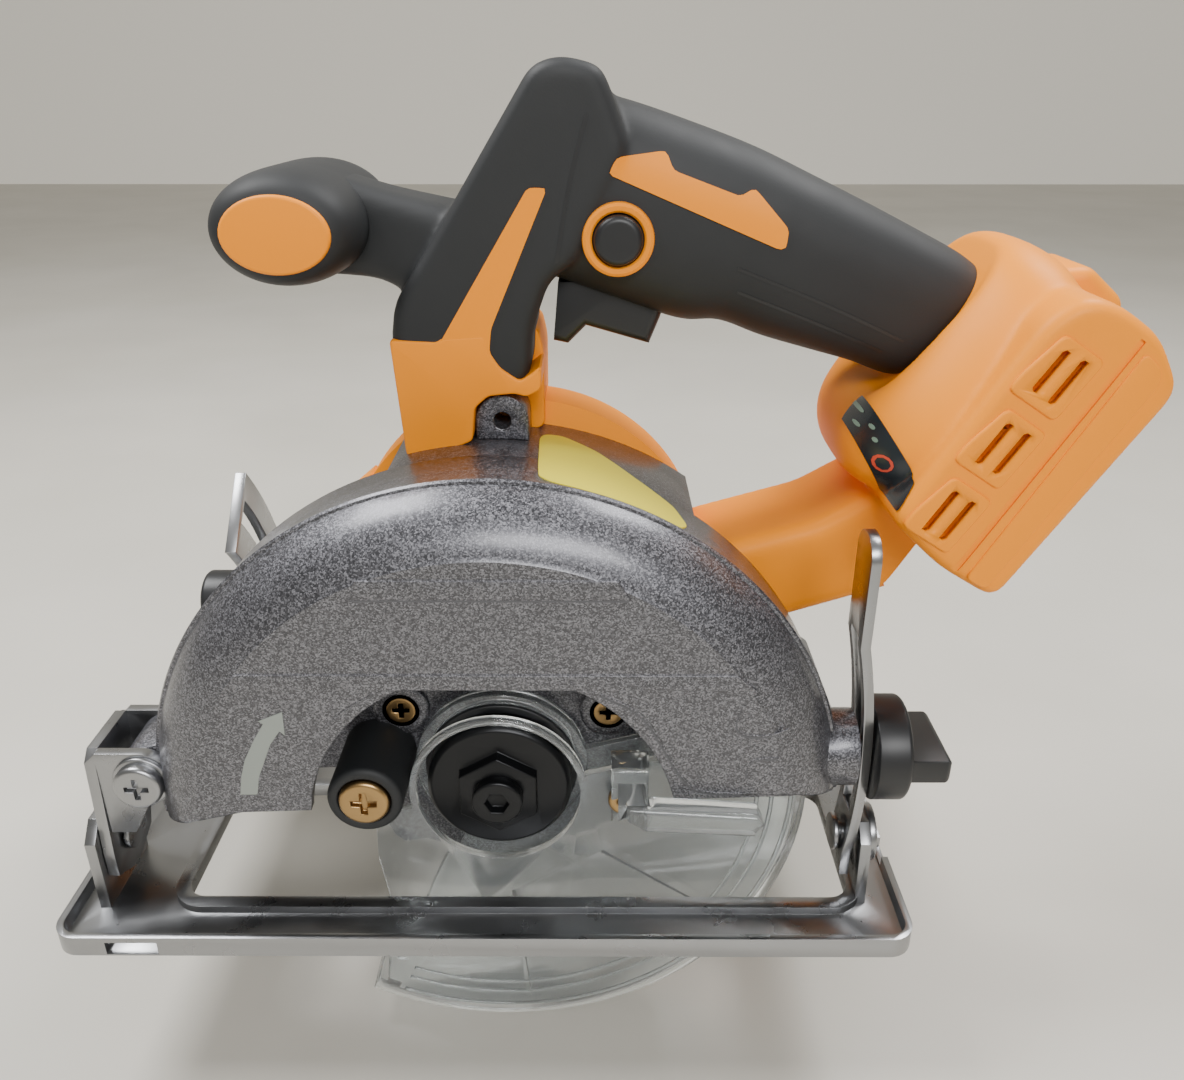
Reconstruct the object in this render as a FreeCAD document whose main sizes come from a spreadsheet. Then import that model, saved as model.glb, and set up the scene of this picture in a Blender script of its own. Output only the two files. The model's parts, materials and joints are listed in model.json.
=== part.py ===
"""Cordless circular saw, 140 mm blade class, as separate pieces.

Frame: origin at the centre of the blade seat, +X to the rear of the saw, +Y from the blade
towards the motor, +Z up. The sole plate is level and the cut depth is set part-way.
"""
import FreeCAD, Part
import math
import os
from FreeCAD import Placement, Rotation, Vector

doc = FreeCAD.newDocument("circular_saw")
sheet = doc.addObject("Spreadsheet::Sheet", "dims")
ALONG_X = Rotation(Vector(0, 1, 0), 90)
ALONG_Y = Rotation(Vector(1, 0, 0), -90)
ALONG_Z = Rotation()
INTO_FAR = Rotation(Vector(1, 0, 0), 90)
NODES = []


# ---------------------------------------------------------------- sizes
class Size:
    """A number together with the spreadsheet expression that gives it."""

    def __init__(self, value, text):
        self.value = value
        self.text = text

    def join(self, other, sign, value, swap=False):
        mine, its = self.text, other.text if isinstance(other, Size) else repr(float(other))
        first, second = (its, mine) if swap else (mine, its)
        return Size(value, f"({first} {sign} {second})")

    def __add__(self, other):
        return self.join(other, "+", self.value + float(other))

    def __radd__(self, other):
        return self.join(other, "+", float(other) + self.value, True)

    def __sub__(self, other):
        return self.join(other, "-", self.value - float(other))

    def __rsub__(self, other):
        return self.join(other, "-", float(other) - self.value, True)

    def __mul__(self, other):
        return self.join(other, "*", self.value * float(other))

    def __rmul__(self, other):
        return self.join(other, "*", float(other) * self.value, True)

    def __truediv__(self, other):
        return self.join(other, "/", self.value / float(other))

    def __neg__(self):
        return self.join(-1.0, "*", -self.value)

    def __float__(self):
        return float(self.value)


def size(name, value, note):
    """Writes one driving dimension into the sheet and returns it."""
    row = size.row = getattr(size, "row", 0) + 1
    sheet.set(f"A{row}", name)
    sheet.set(f"B{row}", str(value))
    sheet.set(f"C{row}", note)
    sheet.setAlias(f"B{row}", name)
    return Size(float(value), f"dims.{name}")


# blade and drive
flange_radius = size("flange_radius", 17.25, "outer blade flange")
flange_thick = size("flange_thick", 5.2, "outer blade flange, disc only")
seat_radius = size("seat_radius", 16.0, "inner blade flange")
spindle_radius = size("spindle_radius", 5.0, "spindle in its bearings")
running_gap = size("running_gap", 0.05, "radial clearance of a shaft in its bearing")
free_gap = size("free_gap", 0.3, "gap between pieces that pass each other")
gear_module = size("gear_module", 1.0, "module of the one gear pair")
gear_teeth = 34
pinion_teeth = 8
gear_width = size("gear_width", 8.0, "face width of the driven gear")
rotor_radius = size("rotor_radius", 12.0, "rotor core")
stator_radius = size("stator_radius", 24.0, "outside of the stator stack")
stator_length = size("stator_length", 34.0, "stator stack with its windings")
# upper guard casting
guard_radius = size("guard_radius", 78.5, "outside of the upper guard's rim")
guard_face_radius = size("guard_face_radius", 67.0, "flat near face of the upper guard")
guard_front_y = size("guard_front_y", 18.5, "near face of the guard, in front of the blade plane")
guard_rim_y = size("guard_rim_y", 8.0, "rim edge, in front of the blade plane")
guard_back_y = size("guard_back_y", 9.0, "back of the guard casting")
guard_wall = size("guard_wall", 2.5, "casting wall")
arch_radius = size("arch_radius", 41.0, "opening around the flange")
arch_top = size("arch_top", 36.5, "flat top of that opening")
# gear housing
housing_depth = size("housing_depth", 25.0, "gear housing, behind the guard casting")
housing_radius = size("housing_radius", 22.0, "gear housing around the spindle")
box_radius = size("box_radius", 18.5, "bearing box that carries the lower guard")
# motor
bell_radius = size("bell_radius", 45.0, "front bell of the motor housing")
bell_depth = size("bell_depth", 16.0, "front bell")
barrel_radius = size("barrel_radius", 33.0, "motor barrel")
barrel_depth = size("barrel_depth", 50.0, "motor barrel")
shell_wall = size("shell_wall", 2.5, "moulded shells")
# handle and battery holder
handle_y = size("handle_y", 35.0, "parting plane of the handle halves")
grip_half = size("grip_half", 17.0, "half the grip's thickness")
holder_half = size("holder_half", 38.0, "half the battery holder's width")
# lower guard
lower_radius = size("lower_radius", 72.5, "outside of the lower guard")
lower_wall = size("lower_wall", 2.0, "clear guard wall")
lower_front_y = size("lower_front_y", 7.5, "near wall of the lower guard")
lower_back_y = size("lower_back_y", 4.5, "far wall of the lower guard")
# base
sole_z = size("sole_z", 31.0, "sole below the spindle at this cut depth")
sheet_steel = size("sheet_steel", 1.6, "base plate steel")
base_front = size("base_front", 103.0, "front end of the base")
base_rear = size("base_rear", 97.0, "rear end of the base")
base_near = size("base_near", 27.0, "near edge of the base")
base_far = size("base_far", 112.0, "far edge of the base, under the motor")
base_flange = size("base_flange", 5.4, "height of the turned-up edge")
bracket_steel = size("bracket_steel", 2.5, "bevel bracket steel")
tilt_y = size("tilt_y", -3.0, "bevel axis")
tilt_z = size("tilt_z", -14.5, "bevel axis")
depth_x = size("depth_x", -81.5, "depth pivot")
depth_z = size("depth_z", 6.5, "depth pivot")
bar_radius = size("bar_radius", 165.6, "depth pivot to the near side of the slotted bar")
bar_thick = size("bar_thick", 2.2, "slotted bar")
bar_width = size("bar_width", 12.0, "slotted bar")
quadrant_radius = size("quadrant_radius", 95.5, "outer edge of the bevel quadrant")
slot_radius = size("slot_radius", 84.5, "middle of the bevel slot")
knob_radius = size("knob_radius", 12.25, "depth knob")
doc.recompute()


# ---------------------------------------------------------------- helpers
def bind(thing, prop, value):
    """Sets a property, through an expression where the value has one."""
    if isinstance(value, Size):
        thing.setExpression(prop, value.text)
    else:
        setattr(thing, prop, value)


def place(thing, x=0.0, y=0.0, z=0.0, turn=ALONG_Z):
    thing.Placement = Placement(Vector(float(x), float(y), float(z)), turn)
    for axis, value in zip("xyz", (x, y, z)):
        if isinstance(value, Size):
            thing.setExpression(f"Placement.Base.{axis}", value.text)
    return thing


def cylinder(radius, length, x=0.0, y=0.0, z=0.0, turn=ALONG_Y):
    rod = doc.addObject("Part::Cylinder", "cylinder")
    bind(rod, "Radius", radius)
    bind(rod, "Height", length)
    return place(rod, x, y, z, turn)


def cone(radius_a, radius_b, length, x=0.0, y=0.0, z=0.0, turn=ALONG_Y):
    taper = doc.addObject("Part::Cone", "cone")
    bind(taper, "Radius1", radius_a)
    bind(taper, "Radius2", radius_b)
    bind(taper, "Height", length)
    return place(taper, x, y, z, turn)


def block(x0, x1, y0, y1, z0, z1):
    box = doc.addObject("Part::Box", "block")
    bind(box, "Length", x1 - x0)
    bind(box, "Width", y1 - y0)
    bind(box, "Height", z1 - z0)
    return place(box, x0, y0, z0)


def hexagon(radius, length, x, y, z, turn=ALONG_Y):
    prism = doc.addObject("Part::Prism", "hexagon")
    prism.Polygon = 6
    bind(prism, "Circumradius", radius)
    bind(prism, "Height", length)
    return place(prism, x, y, z, turn)


def fuse(*things):
    if len(things) == 1:
        return things[0]
    union = doc.addObject("Part::MultiFuse", "fuse")
    union.Shapes = list(things)
    union.Refine = True
    return union


def cut(base, *tools):
    result = doc.addObject("Part::Cut", "cut")
    result.Base = base
    result.Tool = fuse(*tools)
    result.Refine = True
    return result


def common(first, second):
    result = doc.addObject("Part::Common", "common")
    result.Base = first
    result.Tool = second
    return result


def group(*things):
    """Separate solids that share one node."""
    bundle = doc.addObject("Part::Compound", "group")
    bundle.Links = list(things)
    return bundle


def node(thing, label):
    thing.Label = label
    NODES.append(thing)
    return thing


def draw(sketch, outline):
    """A closed outline: points, arcs as (through, end) coordinates, or whole circles."""
    if outline[0] == "circle":
        centre = Vector(float(outline[1]), float(outline[2]), 0)
        sketch.addGeometry(Part.Circle(centre, Vector(0, 0, 1), float(outline[3])), False)
        return
    points = [tuple(float(value) for value in item) for item in outline]
    here = start = Vector(*points[0], 0)
    for item in points[1:] + [points[0]]:
        there = Vector(item[-2], item[-1], 0)
        if (there - here).Length < 1e-6:
            continue
        if len(item) == 4:
            edge = Part.Arc(here, Vector(item[0], item[1], 0), there)
        else:
            edge = Part.LineSegment(here, there)
        sketch.addGeometry(edge, False)
        here = start if (there - start).Length < 1e-6 else there


def sketch_on(body, plane, outlines):
    sketch = body.newObject("Sketcher::SketchObject", "sketch")
    origin = [item for item in body.Origin.OriginFeatures if item.Role == plane]
    sketch.AttachmentSupport = [(origin[0], "")]
    sketch.MapMode = "FlatFace"
    for outline in outlines:
        draw(sketch, outline)
    return sketch


def pad(plane, outlines, length, **where):
    """One pad from a sketch on an origin plane. XZ pads grow towards -Y, YZ ones towards +X."""
    body = doc.addObject("PartDesign::Body", "body")
    sketch = sketch_on(body, plane, outlines)
    feature = body.newObject("PartDesign::Pad", "pad")
    feature.Profile = sketch
    bind(feature, "Length", length)
    sketch.Visibility = False
    return place(body, **where)


def side_pad(outline, y_near, y_far, *holes):
    """An XZ outline between two Y planes."""
    return pad("XZ_Plane", [outline, *holes], y_far - y_near, y=y_far)


def cross_pad(outline, x_front, x_rear, *holes):
    """A YZ outline between two X planes."""
    return pad("YZ_Plane", [outline, *holes], x_rear - x_front, x=x_front)


def plan_pad(outline, z_low, z_high, *holes):
    """An XY outline between two Z planes."""
    return pad("XY_Plane", [outline, *holes], z_high - z_low, z=z_low)


def lathe(profile, axis="V_Axis", x=0.0, y=0.0, z=0.0):
    """A profile in the XY plane turned about Y (V_Axis) or X (H_Axis)."""
    body = doc.addObject("PartDesign::Body", "turned")
    sketch = sketch_on(body, "XY_Plane", [profile])
    feature = body.newObject("PartDesign::Revolution", "revolution")
    feature.Profile = sketch
    feature.ReferenceAxis = (sketch, [axis])
    feature.Angle = 360.0
    sketch.Visibility = False
    return place(body, x, y, z)


def rounded(x0, x1, y0, y1, radius):
    """A rectangle with round corners."""
    x0, x1, y0, y1, radius = (float(value) for value in (x0, x1, y0, y1, radius))
    k = radius * (1 - math.sqrt(0.5))
    return [(x0 + radius, y0), (x1 - radius, y0), (x1 - k, y0 + k, x1, y0 + radius),
            (x1, y1 - radius), (x1 - k, y1 - k, x1 - radius, y1), (x0 + radius, y1),
            (x0 + k, y1 - k, x0, y1 - radius), (x0, y0 + radius), (x0 + k, y0 + k, x0 + radius, y0)]


def polar(radius, degrees, x=0.0, y=0.0):
    angle = math.radians(degrees)
    return (float(x) + float(radius) * math.cos(angle), float(y) + float(radius) * math.sin(angle))


def arc_to(radius, start, end, x=0.0, y=0.0):
    """Arc item from one angle to another about a centre, for an outline already at the start."""
    return (*polar(radius, (start + end) / 2, x, y), *polar(radius, end, x, y))


def sector(inner, outer, start, end, x=0.0, y=0.0):
    return [polar(outer, start, x, y), arc_to(outer, start, end, x, y), polar(inner, end, x, y),
            arc_to(inner, end, start, x, y)]


def soften(thing, radius, wanted):
    """Fillets the edges whose middle point passes the test."""
    doc.recompute()
    edges = []
    for index, edge in enumerate(thing.Shape.Edges, 1):
        low, high = edge.ParameterRange
        middle = edge.valueAt((low + high) / 2)
        if wanted(middle, edge):
            edges.append((index, float(radius), float(radius)))
    fillet = doc.addObject("Part::Fillet", "fillet")
    fillet.Base = thing
    fillet.Edges = edges
    return fillet


def cross_recess(radius, depth, x, y, z, turn=ALONG_Y):
    """The cross of a screw head, as a cutting tool."""
    bars = [block(-radius, radius, -radius / 4, radius / 4, 0.0, depth),
            block(-radius / 4, radius / 4, -radius, radius, 0.0, depth)]
    star = fuse(*bars)
    return place(star, x, y, z, turn)


def pan_screw(head_radius, head_high, shank_radius, shank_long, x, y, z, turn=ALONG_Y):
    """A pan-head screw: the head's top is at the given point, the shank runs along the turn."""
    head = cylinder(head_radius, head_high, turn=ALONG_Z)
    dome = soften(head, head_high * 0.45, lambda middle, edge: middle.z < 1e-6)
    shank = cylinder(shank_radius, head_high + shank_long, turn=ALONG_Z)
    slot = cross_recess(head_radius * 0.5, head_high * 0.6, 0.0, 0.0, 0.0, ALONG_Z)
    return place(cut(fuse(dome, shank), slot), x, y, z, turn)


# ---------------------------------------------------------------- spindle and its gear
spindle_end = guard_back_y + housing_depth - 3.0
gear_front = guard_back_y + 7.0
gear_pitch = gear_module * gear_teeth / 2
pinion_pitch = gear_module * pinion_teeth / 2
motor_z = gear_pitch + pinion_pitch


def toothed(teeth, length, bore, x, y, z, turn_degrees):
    """A spur gear whose teeth are slim trapezoids, so the pair runs with backlash."""
    module = float(gear_module)
    pitch = module * teeth / 2
    root, tip = pitch - 1.2 * module, pitch + 0.8 * module
    outline = []
    for index in range(teeth):
        centre = 360.0 * index / teeth + turn_degrees
        wide, slim = math.degrees(0.62 * module / root), math.degrees(0.3 * module / tip)
        outline += [polar(root, centre - wide), polar(tip, centre - slim),
                    polar(tip, centre + slim), polar(root, centre + wide)]
    wheel = pad("XY_Plane", [outline], length)
    wheel.Placement = Placement(Vector(float(x), float(y), float(z)), ALONG_Y)
    return cut(wheel, cylinder(bore, length, x, y, z))


def make_spindle():
    shaft = cylinder(spindle_radius, spindle_end)
    thread = cylinder(4.0, 20.0)
    node(cut(shaft, thread), "spindle")
    seat = cylinder(seat_radius, 3.0)
    collar = cylinder(spindle_radius + 2.6, guard_back_y - 5.6, y=3.0)
    node(cut(fuse(seat, collar), cylinder(spindle_radius, 12.0)), "inner_flange")
    disc = lathe([(0, 0), (flange_radius, 0), (flange_radius, -flange_thick + 1.2),
                  (flange_radius - 1.2, -flange_thick), (0, -flange_thick)])
    boss = hexagon(10.5, 3.0, 0.0, -flange_thick - 3.0, 0.0,
                   ALONG_Y.multiply(Rotation(Vector(0, 0, 1), 30)))
    node(cut(fuse(disc, boss), cylinder(4.1, 12.0, y=-9.0)), "outer_flange")
    bolt_top = -flange_thick - 3.0 - 3.0
    head = soften(cylinder(6.0, 3.0, y=bolt_top), 0.8,
                  lambda middle, edge: middle.y < float(bolt_top) + 0.01)
    shank = cylinder(3.95, flange_thick + 20.0, y=bolt_top)
    socket = hexagon(2.9, 2.4, 0.0, bolt_top, 0.0)
    node(cut(fuse(head, shank), socket), "blade_bolt")
    node(toothed(gear_teeth, gear_width, spindle_radius, 0.0, gear_front, 0.0, 90.0), "driven_gear")


def star(count, inner, outer, thick):
    """A hub with straight vanes."""
    outline = []
    for index in range(count):
        centre = 360.0 * index / count
        wide, slim = math.degrees(thick / 2 / inner), math.degrees(thick / 2 / outer)
        outline += [polar(inner, centre - wide), polar(outer, centre - slim),
                    polar(outer, centre + slim), polar(inner, centre + wide)]
    return outline


def ring(outer, inner, length, x, y, z):
    return cut(cylinder(outer, length, x, y, z), cylinder(inner, length, x, y, z))


rotor_seat = guard_back_y + housing_depth
motor_front = rotor_seat
stator_front = motor_front + 14.0
rotor_end = stator_front + stator_length + 12.0


def make_rotor():
    shaft_radius = pinion_pitch * 0.625
    front = gear_front - 1.0
    node(cylinder(shaft_radius, rotor_end - front, y=front, z=motor_z), "rotor_shaft")
    half_pitch = 180.0 / pinion_teeth
    node(toothed(pinion_teeth, gear_width, shaft_radius, 0.0, gear_front, motor_z,
                 -90.0 + half_pitch), "pinion")
    node(ring(rotor_radius, shaft_radius, stator_length - 4.0, 0.0, stator_front + 2.0, motor_z),
         "rotor_core")
    hub = cylinder(shaft_radius + 4.0, 7.0, y=motor_front + 4.5, z=motor_z)
    plate = cylinder(23.5, 1.5, y=motor_front + 10.0, z=motor_z)
    vanes = pad("XY_Plane", [star(9, float(shaft_radius) + 2.0, 23.0, 1.2)], 5.7)
    place(vanes, 0.0, motor_front + 4.5, motor_z, ALONG_Y)
    bore = cylinder(shaft_radius, 30.0, y=motor_front, z=motor_z)
    node(cut(fuse(hub, plate, vanes), bore), "cooling_fan")


def make_bearings():
    front = ring(11.0, spindle_radius + running_gap, 6.0, 0.0, guard_back_y - 2.5, 0.0)
    rear = ring(11.0, spindle_radius + running_gap, 4.0, 0.0, spindle_end - 5.0, 0.0)
    node(group(front, rear), "spindle_bearings")
    shaft_radius = pinion_pitch * 0.625
    first = ring(8.0, shaft_radius + running_gap, 4.0, 0.0, rotor_seat - 4.5, motor_z)
    second = ring(8.0, shaft_radius + running_gap, 5.0, 0.0, rotor_end - 6.0, motor_z)
    node(group(first, second), "motor_bearings")
    stack = ring(stator_radius, rotor_radius + 0.5, stator_length, 0.0, stator_front, motor_z)
    node(stack, "stator")


# ---------------------------------------------------------------- guards and gear housing
back_inner = guard_back_y - guard_wall
lower_turn = lower_back_y - lower_wall
screw_spots = ((-24.0, 15.0), (26.0, 14.5))
bumper_x, bumper_z = -30.0, 3.0
lug_x, lug_z = 1.7, 82.9


def bowl(radius, face_radius, front, rim, back):
    """A round casting with a rolled shoulder, as a solid about Y."""
    middle = (face_radius + 0.6 * (radius - face_radius), -front + 0.4 * (front - rim))
    return lathe([(0, -front), (face_radius, -front), (*middle, radius, -rim), (radius, back),
                  (0, back)])


def make_upper_guard():
    skin = bowl(float(guard_radius), float(guard_face_radius), float(guard_front_y),
                float(guard_rim_y), float(guard_back_y))
    wall = float(guard_wall)
    room = bowl(float(guard_radius) - wall, float(guard_face_radius) - wall,
                float(guard_front_y) - wall, float(guard_rim_y) - wall / 2, float(back_inner))
    below = side_pad([(-90, -5), (90, 2.5), (90, -90), (-90, -90)], -30.0, 30.0)
    under_face = side_pad([(-90, 2.4), (90, 9.5), (90, -90), (-90, -90)], -30.0,
                          -guard_rim_y - 0.5)
    corner = math.degrees(math.asin(arch_top.value / arch_radius.value))
    arch = side_pad([(-arch_radius, -60), (-arch_radius, 0),
                     arc_to(arch_radius, 180, 180 - corner), polar(arch_radius, corner),
                     arc_to(arch_radius, corner, 0), (arch_radius, -60)], -30.0, -9.0)
    well = cylinder(box_radius, 12.0, y=0.0)
    seats = [cylinder(4.4, 0.7, x, back_inner, z) for x, z in screw_spots]
    holes = [cylinder(2.0, 10.0, x, 0.0, z) for x, z in screw_spots]
    holes.append(cylinder(2.15, 10.0, bumper_x, 0.0, bumper_z))
    pad_back = cylinder(36.0, guard_wall, y=back_inner)
    neck = side_pad(sector(74.5, guard_radius, 55, 107), back_inner, guard_back_y + housing_depth)
    reliefs = [cylinder(7.7, 13.0, depth_x, y, depth_z) for y in (-20.6, 6.7)]
    shell = cut(cut(skin, room), below, under_face, arch)
    node(cut(fuse(shell, pad_back, neck), well, *seats, *holes, *reliefs),
         "upper_guard")


def make_gear_housing():
    far = guard_back_y + housing_depth
    outline = [polar(70.5, 114), polar(74.5, 106), arc_to(74.5, 106, 68), polar(71.5, 50), (30.0, 20.0),
               polar(housing_radius, 0), arc_to(housing_radius, 0, -180), (-28.0, 20.0)]
    body = side_pad(outline, guard_back_y, far)
    ears = [cylinder(6.5, 12.0, x, guard_back_y, z) for x, z in screw_spots]
    room = fuse(cylinder(19.5, 17.0, y=guard_back_y), cylinder(11.0, 17.0, y=guard_back_y, z=motor_z),
                cylinder(5.6, 22.0, y=guard_back_y))
    upper_room = side_pad([(-20.0, 64.0), (27.0, 65.0), (22.0, 38.0), (-18.0, 38.0)],
                          guard_back_y, far - 4.0)
    pockets = [cylinder(11.0, 6.0, y=spindle_end - 7.0),
               cylinder(3.2, 10.0, y=guard_back_y + 16.0, z=motor_z),
               cylinder(8.0, 6.0, y=rotor_seat - 4.5, z=motor_z)]
    holes = [cylinder(1.7, 9.0, x, guard_back_y, z) for x, z in screw_spots]
    lug = side_pad([(lug_x - 6, 74), (lug_x + 6, 74), (lug_x + 6, lug_z), (lug_x, lug_z + 6,
                    lug_x - 6, lug_z)], 20.5, 30.5)
    lug_hole = cylinder(1.95, 12.0, lug_x, 20.0, lug_z)
    solid = fuse(body, *ears)
    node(cut(solid, room, upper_room, *pockets, *holes), "gear_housing")
    clear = cylinder(guard_radius, 14.0, y=18.0)
    node(cut(cut(lug, lug_hole), clear), "accessory_lug")


def make_bearing_box():
    body = fuse(cylinder(box_radius, guard_back_y - 1.8, y=1.8), cylinder(box_radius + 0.9, 2.5, y=guard_back_y))
    tools = [cylinder(seat_radius + free_gap, 1.6, y=1.7), cylinder(8.0, 12.0, y=1.7),
             cylinder(11.0, 12.0, y=back_inner)]
    node(cut(body, *tools), "bearing_box")


def make_housing_screws():
    screws = [pan_screw(4.1, 2.4, 1.6, 9.0, x, lower_back_y + free_gap, z) for x, z in screw_spots]
    node(group(*screws), "housing_screws")


def make_bumper():
    body = soften(cylinder(8.75, back_inner + 14.0, bumper_x, -14.0, bumper_z), 1.5,
                  lambda middle, edge: middle.y < -13.9)
    tools = [cylinder(6.2, 2.6, bumper_x, -15.0, bumper_z), cylinder(2.2, 30.0, bumper_x, -15.0,
                                                                    bumper_z)]
    node(cut(body, *tools), "guard_bumper")
    node(pan_screw(5.9, 2.6, 2.1, 21.3, bumper_x, -15.0, bumper_z), "bumper_screw")


def make_lower_guard():
    outer, wall = lower_radius, lower_wall
    start, end = 244, 375
    hub_in, hub_out = box_radius.value + 0.1, box_radius.value + 2.6
    face = [polar(outer, end), arc_to(outer, end, start), (-28.0, -34.0), (-30.0, -20.0),
            (-29.5, -6.3), polar(hub_in + 1.0, 192), arc_to(hub_in + 1.0, 192, end)]
    front = side_pad(face, -lower_front_y, -lower_front_y + wall)
    front_ring = ring(hub_out, hub_in + 0.8, wall, 0.0, -lower_front_y, 0.0)
    rim = side_pad(sector(outer - wall, outer, start, end), -lower_front_y, lower_back_y)
    back = side_pad(sector(box_radius + 1.0, outer, start, end), lower_turn, lower_back_y)
    hub = cylinder(hub_out, 3.6, y=lower_turn)
    tab = side_pad(sector(outer - 4.0, outer, 241, 246), -lower_front_y, lower_back_y)
    ribs = [place(side_pad(sector(30.0, 66.0, -0.6, 0.6), -lower_front_y - 0.6, -lower_front_y),
                  0.0, -lower_front_y, 0.0, Rotation(Vector(0, 1, 0), -angle))
            for angle in (275, 325)]
    bore = cylinder(box_radius + 0.08, 8.0, y=1.0)
    node(cut(fuse(front, front_ring, rim, back, hub, tab, *ribs), bore), "lower_guard")


def make_lever():
    block_part = soften(block(26.5, 35.0, -15.5, -7.8, -2.0, 13.0), 1.5,
                        lambda middle, edge: middle.y < -15.4)
    reach = side_pad([(30.0, 3.0), (58.0, 1.5), (60.0, 4.5), (58.5, 7.5), (30.0, 9.5)], -24.5, -19.5)
    reach = soften(reach, 1.6, lambda middle, edge: middle.y < -24.4)
    handle = fuse(reach, block(28.0, 34.5, -23.0, -14.0, 2.5, 9.5))
    bore = cylinder(2.4, 40.0, 29.8, -27.0, 1.3)
    well = cylinder(4.4, 20.0, 29.8, -30.0, 1.3)
    node(cut(fuse(block_part, handle), bore, well), "guard_lever")
    node(pan_screw(3.9, 2.0, 1.5, 1.8, 29.8, -12.0, 1.3), "lever_screw")


# ---------------------------------------------------------------- motor
bell_x, bell_z = 5.0, 39.0
barrel_x, barrel_z = 2.0, 26.0
bell_back = motor_front + bell_depth
barrel_back = bell_back + barrel_depth


def make_motor_housing():
    bell = soften(cylinder(bell_radius, bell_depth, bell_x, motor_front, bell_z), 4.0,
                  lambda middle, edge: middle.y > float(bell_back) - 0.01)
    wing = side_pad([(-45.5, 53.6), (-33.0, 64.2), (-25.0, 60.0), (-36.0, 46.0)], motor_front, motor_front + 8.0)
    bell = fuse(bell, wing)
    barrel = cylinder(barrel_radius, barrel_depth + 2.0, barrel_x, bell_back - 2.0, barrel_z)
    bell_room = cylinder(bell_radius - shell_wall, bell_depth - 2 * shell_wall, bell_x,
                         motor_front + shell_wall, bell_z)
    barrel_room = cylinder(barrel_radius - shell_wall, barrel_depth + shell_wall, barrel_x,
                           bell_back - shell_wall, barrel_z)
    nose = cylinder(12.0, 4.0, y=motor_front - 1.0, z=motor_z)
    rims = []
    for y in (stator_front + 3.0, stator_front + 25.0):
        band = cut(cylinder(barrel_radius - 1.0, 4.0, barrel_x, y, barrel_z),
                   cylinder(stator_radius, 4.0, y=y, z=motor_z))
        rims.append(band)
    wall = cylinder(barrel_radius - 1.0, 3.0, barrel_x, rotor_end - 6.0, barrel_z)
    vents = [place(side_pad(sector(12.0, 24.0, -18, 18), -5.0, 5.0), 0.0,
                   rotor_end, motor_z, Rotation(Vector(0, 1, 0), 60.0 * index))
             for index in range(6)]
    wall = cut(wall, cylinder(8.0, 6.0, y=rotor_end - 8.0, z=motor_z), *vents)
    shell = cut(fuse(bell, barrel), bell_room, barrel_room, nose)
    node(fuse(shell, wall, *rims), "motor_housing")
    cap = soften(cylinder(barrel_radius, 12.0, barrel_x, barrel_back, barrel_z), 5.0,
                 lambda middle, edge: middle.y > float(barrel_back) + 11.9)
    slots = [side_pad(rounded(barrel_x - 22 + abs(row) * 1.5, barrel_x + 22 - abs(row) * 1.5,
                              barrel_z + row * 5.5 - 1.2, barrel_z + row * 5.5 + 1.2, 1.1),
                      barrel_back + 4.0, barrel_back + 14.0) for row in range(-3, 4)]
    room = cylinder(barrel_radius - shell_wall, 12.0 - shell_wall, barrel_x, barrel_back, barrel_z)
    node(cut(cap, room, *slots), "motor_end_cover")


# ---------------------------------------------------------------- handle
def inset(points, distance):
    """A polygon moved inwards by the same distance all round."""
    count = len(points)
    area = sum(points[i - 1][0] * points[i][1] - points[i][0] * points[i - 1][1]
               for i in range(count))
    side = 1.0 if area > 0 else -1.0
    moved = []
    for i in range(count):
        before, here, after = points[i - 1], points[i], points[(i + 1) % count]
        one = (here[0] - before[0], here[1] - before[1])
        two = (after[0] - here[0], after[1] - here[1])
        long_one, long_two = math.hypot(*one), math.hypot(*two)
        n_one = (-one[1] / long_one * side, one[0] / long_one * side)
        n_two = (-two[1] / long_two * side, two[0] / long_two * side)
        spread = 1 + n_one[0] * n_two[0] + n_one[1] * n_two[1]
        moved.append((here[0] + distance * (n_one[0] + n_two[0]) / spread,
                      here[1] + distance * (n_one[1] + n_two[1]) / spread))
    return moved


GRIP = [(-21.5, 101.0), (-31.5, 115.5), (-23.0, 131.5), (-9.5, 128.0), (1.5, 143.5), (9.8, 156.0),
        (20.0, 156.5), (57.0, 140.4), (83.5, 128.2), (109.5, 115.5), (106.5, 102.5), (94.4, 91.6),
        (68.0, 98.5), (44.6, 105.0), (12.0, 113.4), (9.0, 98.0)]
FOOT = [(-21.5, 101.5), (9.5, 101.0), (10.6, 84.0), (10.0, 76.0), (-22.0, 72.0)]
HOLDER = [(100.5, 125.0), (111.0, 123.0), (124.0, 117.0), (131.3, 110.9), (139.8, 97.5),
          (111.9, 49.2), (95.7, 58.0), (86.0, 67.2), (75.4, 83.4), (83.3, 98.1)]
ARM = [(30.0, 22.0), (28.0, 46.0), (52.0, 51.5), (75.0, 58.0), (92.0, 66.0), (112.0, 52.0),
       (105.8, 44.0), (68.7, 31.8)]
KNOB = [(-57.2, 122.5), (-57.3, 126.3), (-53.5, 133.2), (-43.5, 139.8), (-33.2, 141.4),
        (-26.8, 138.8), (-20.5, 130.9), (-30.1, 114.8), (-38.9, 113.2), (-52.0, 116.5)]
cover_thick = 1.5
mouth_depth = 13.0
button_x, button_z = 27.5, 122.9
trigger_x, trigger_z = 36.0, 113.5
trigger_half = 7.0
mode_x, mode_z = 85.0, 77.6
shell_screw_spots = ((2.0, 106.5), (-14.0, 94.0), (48.0, 130.0), (94.0, 108.0))


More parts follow.
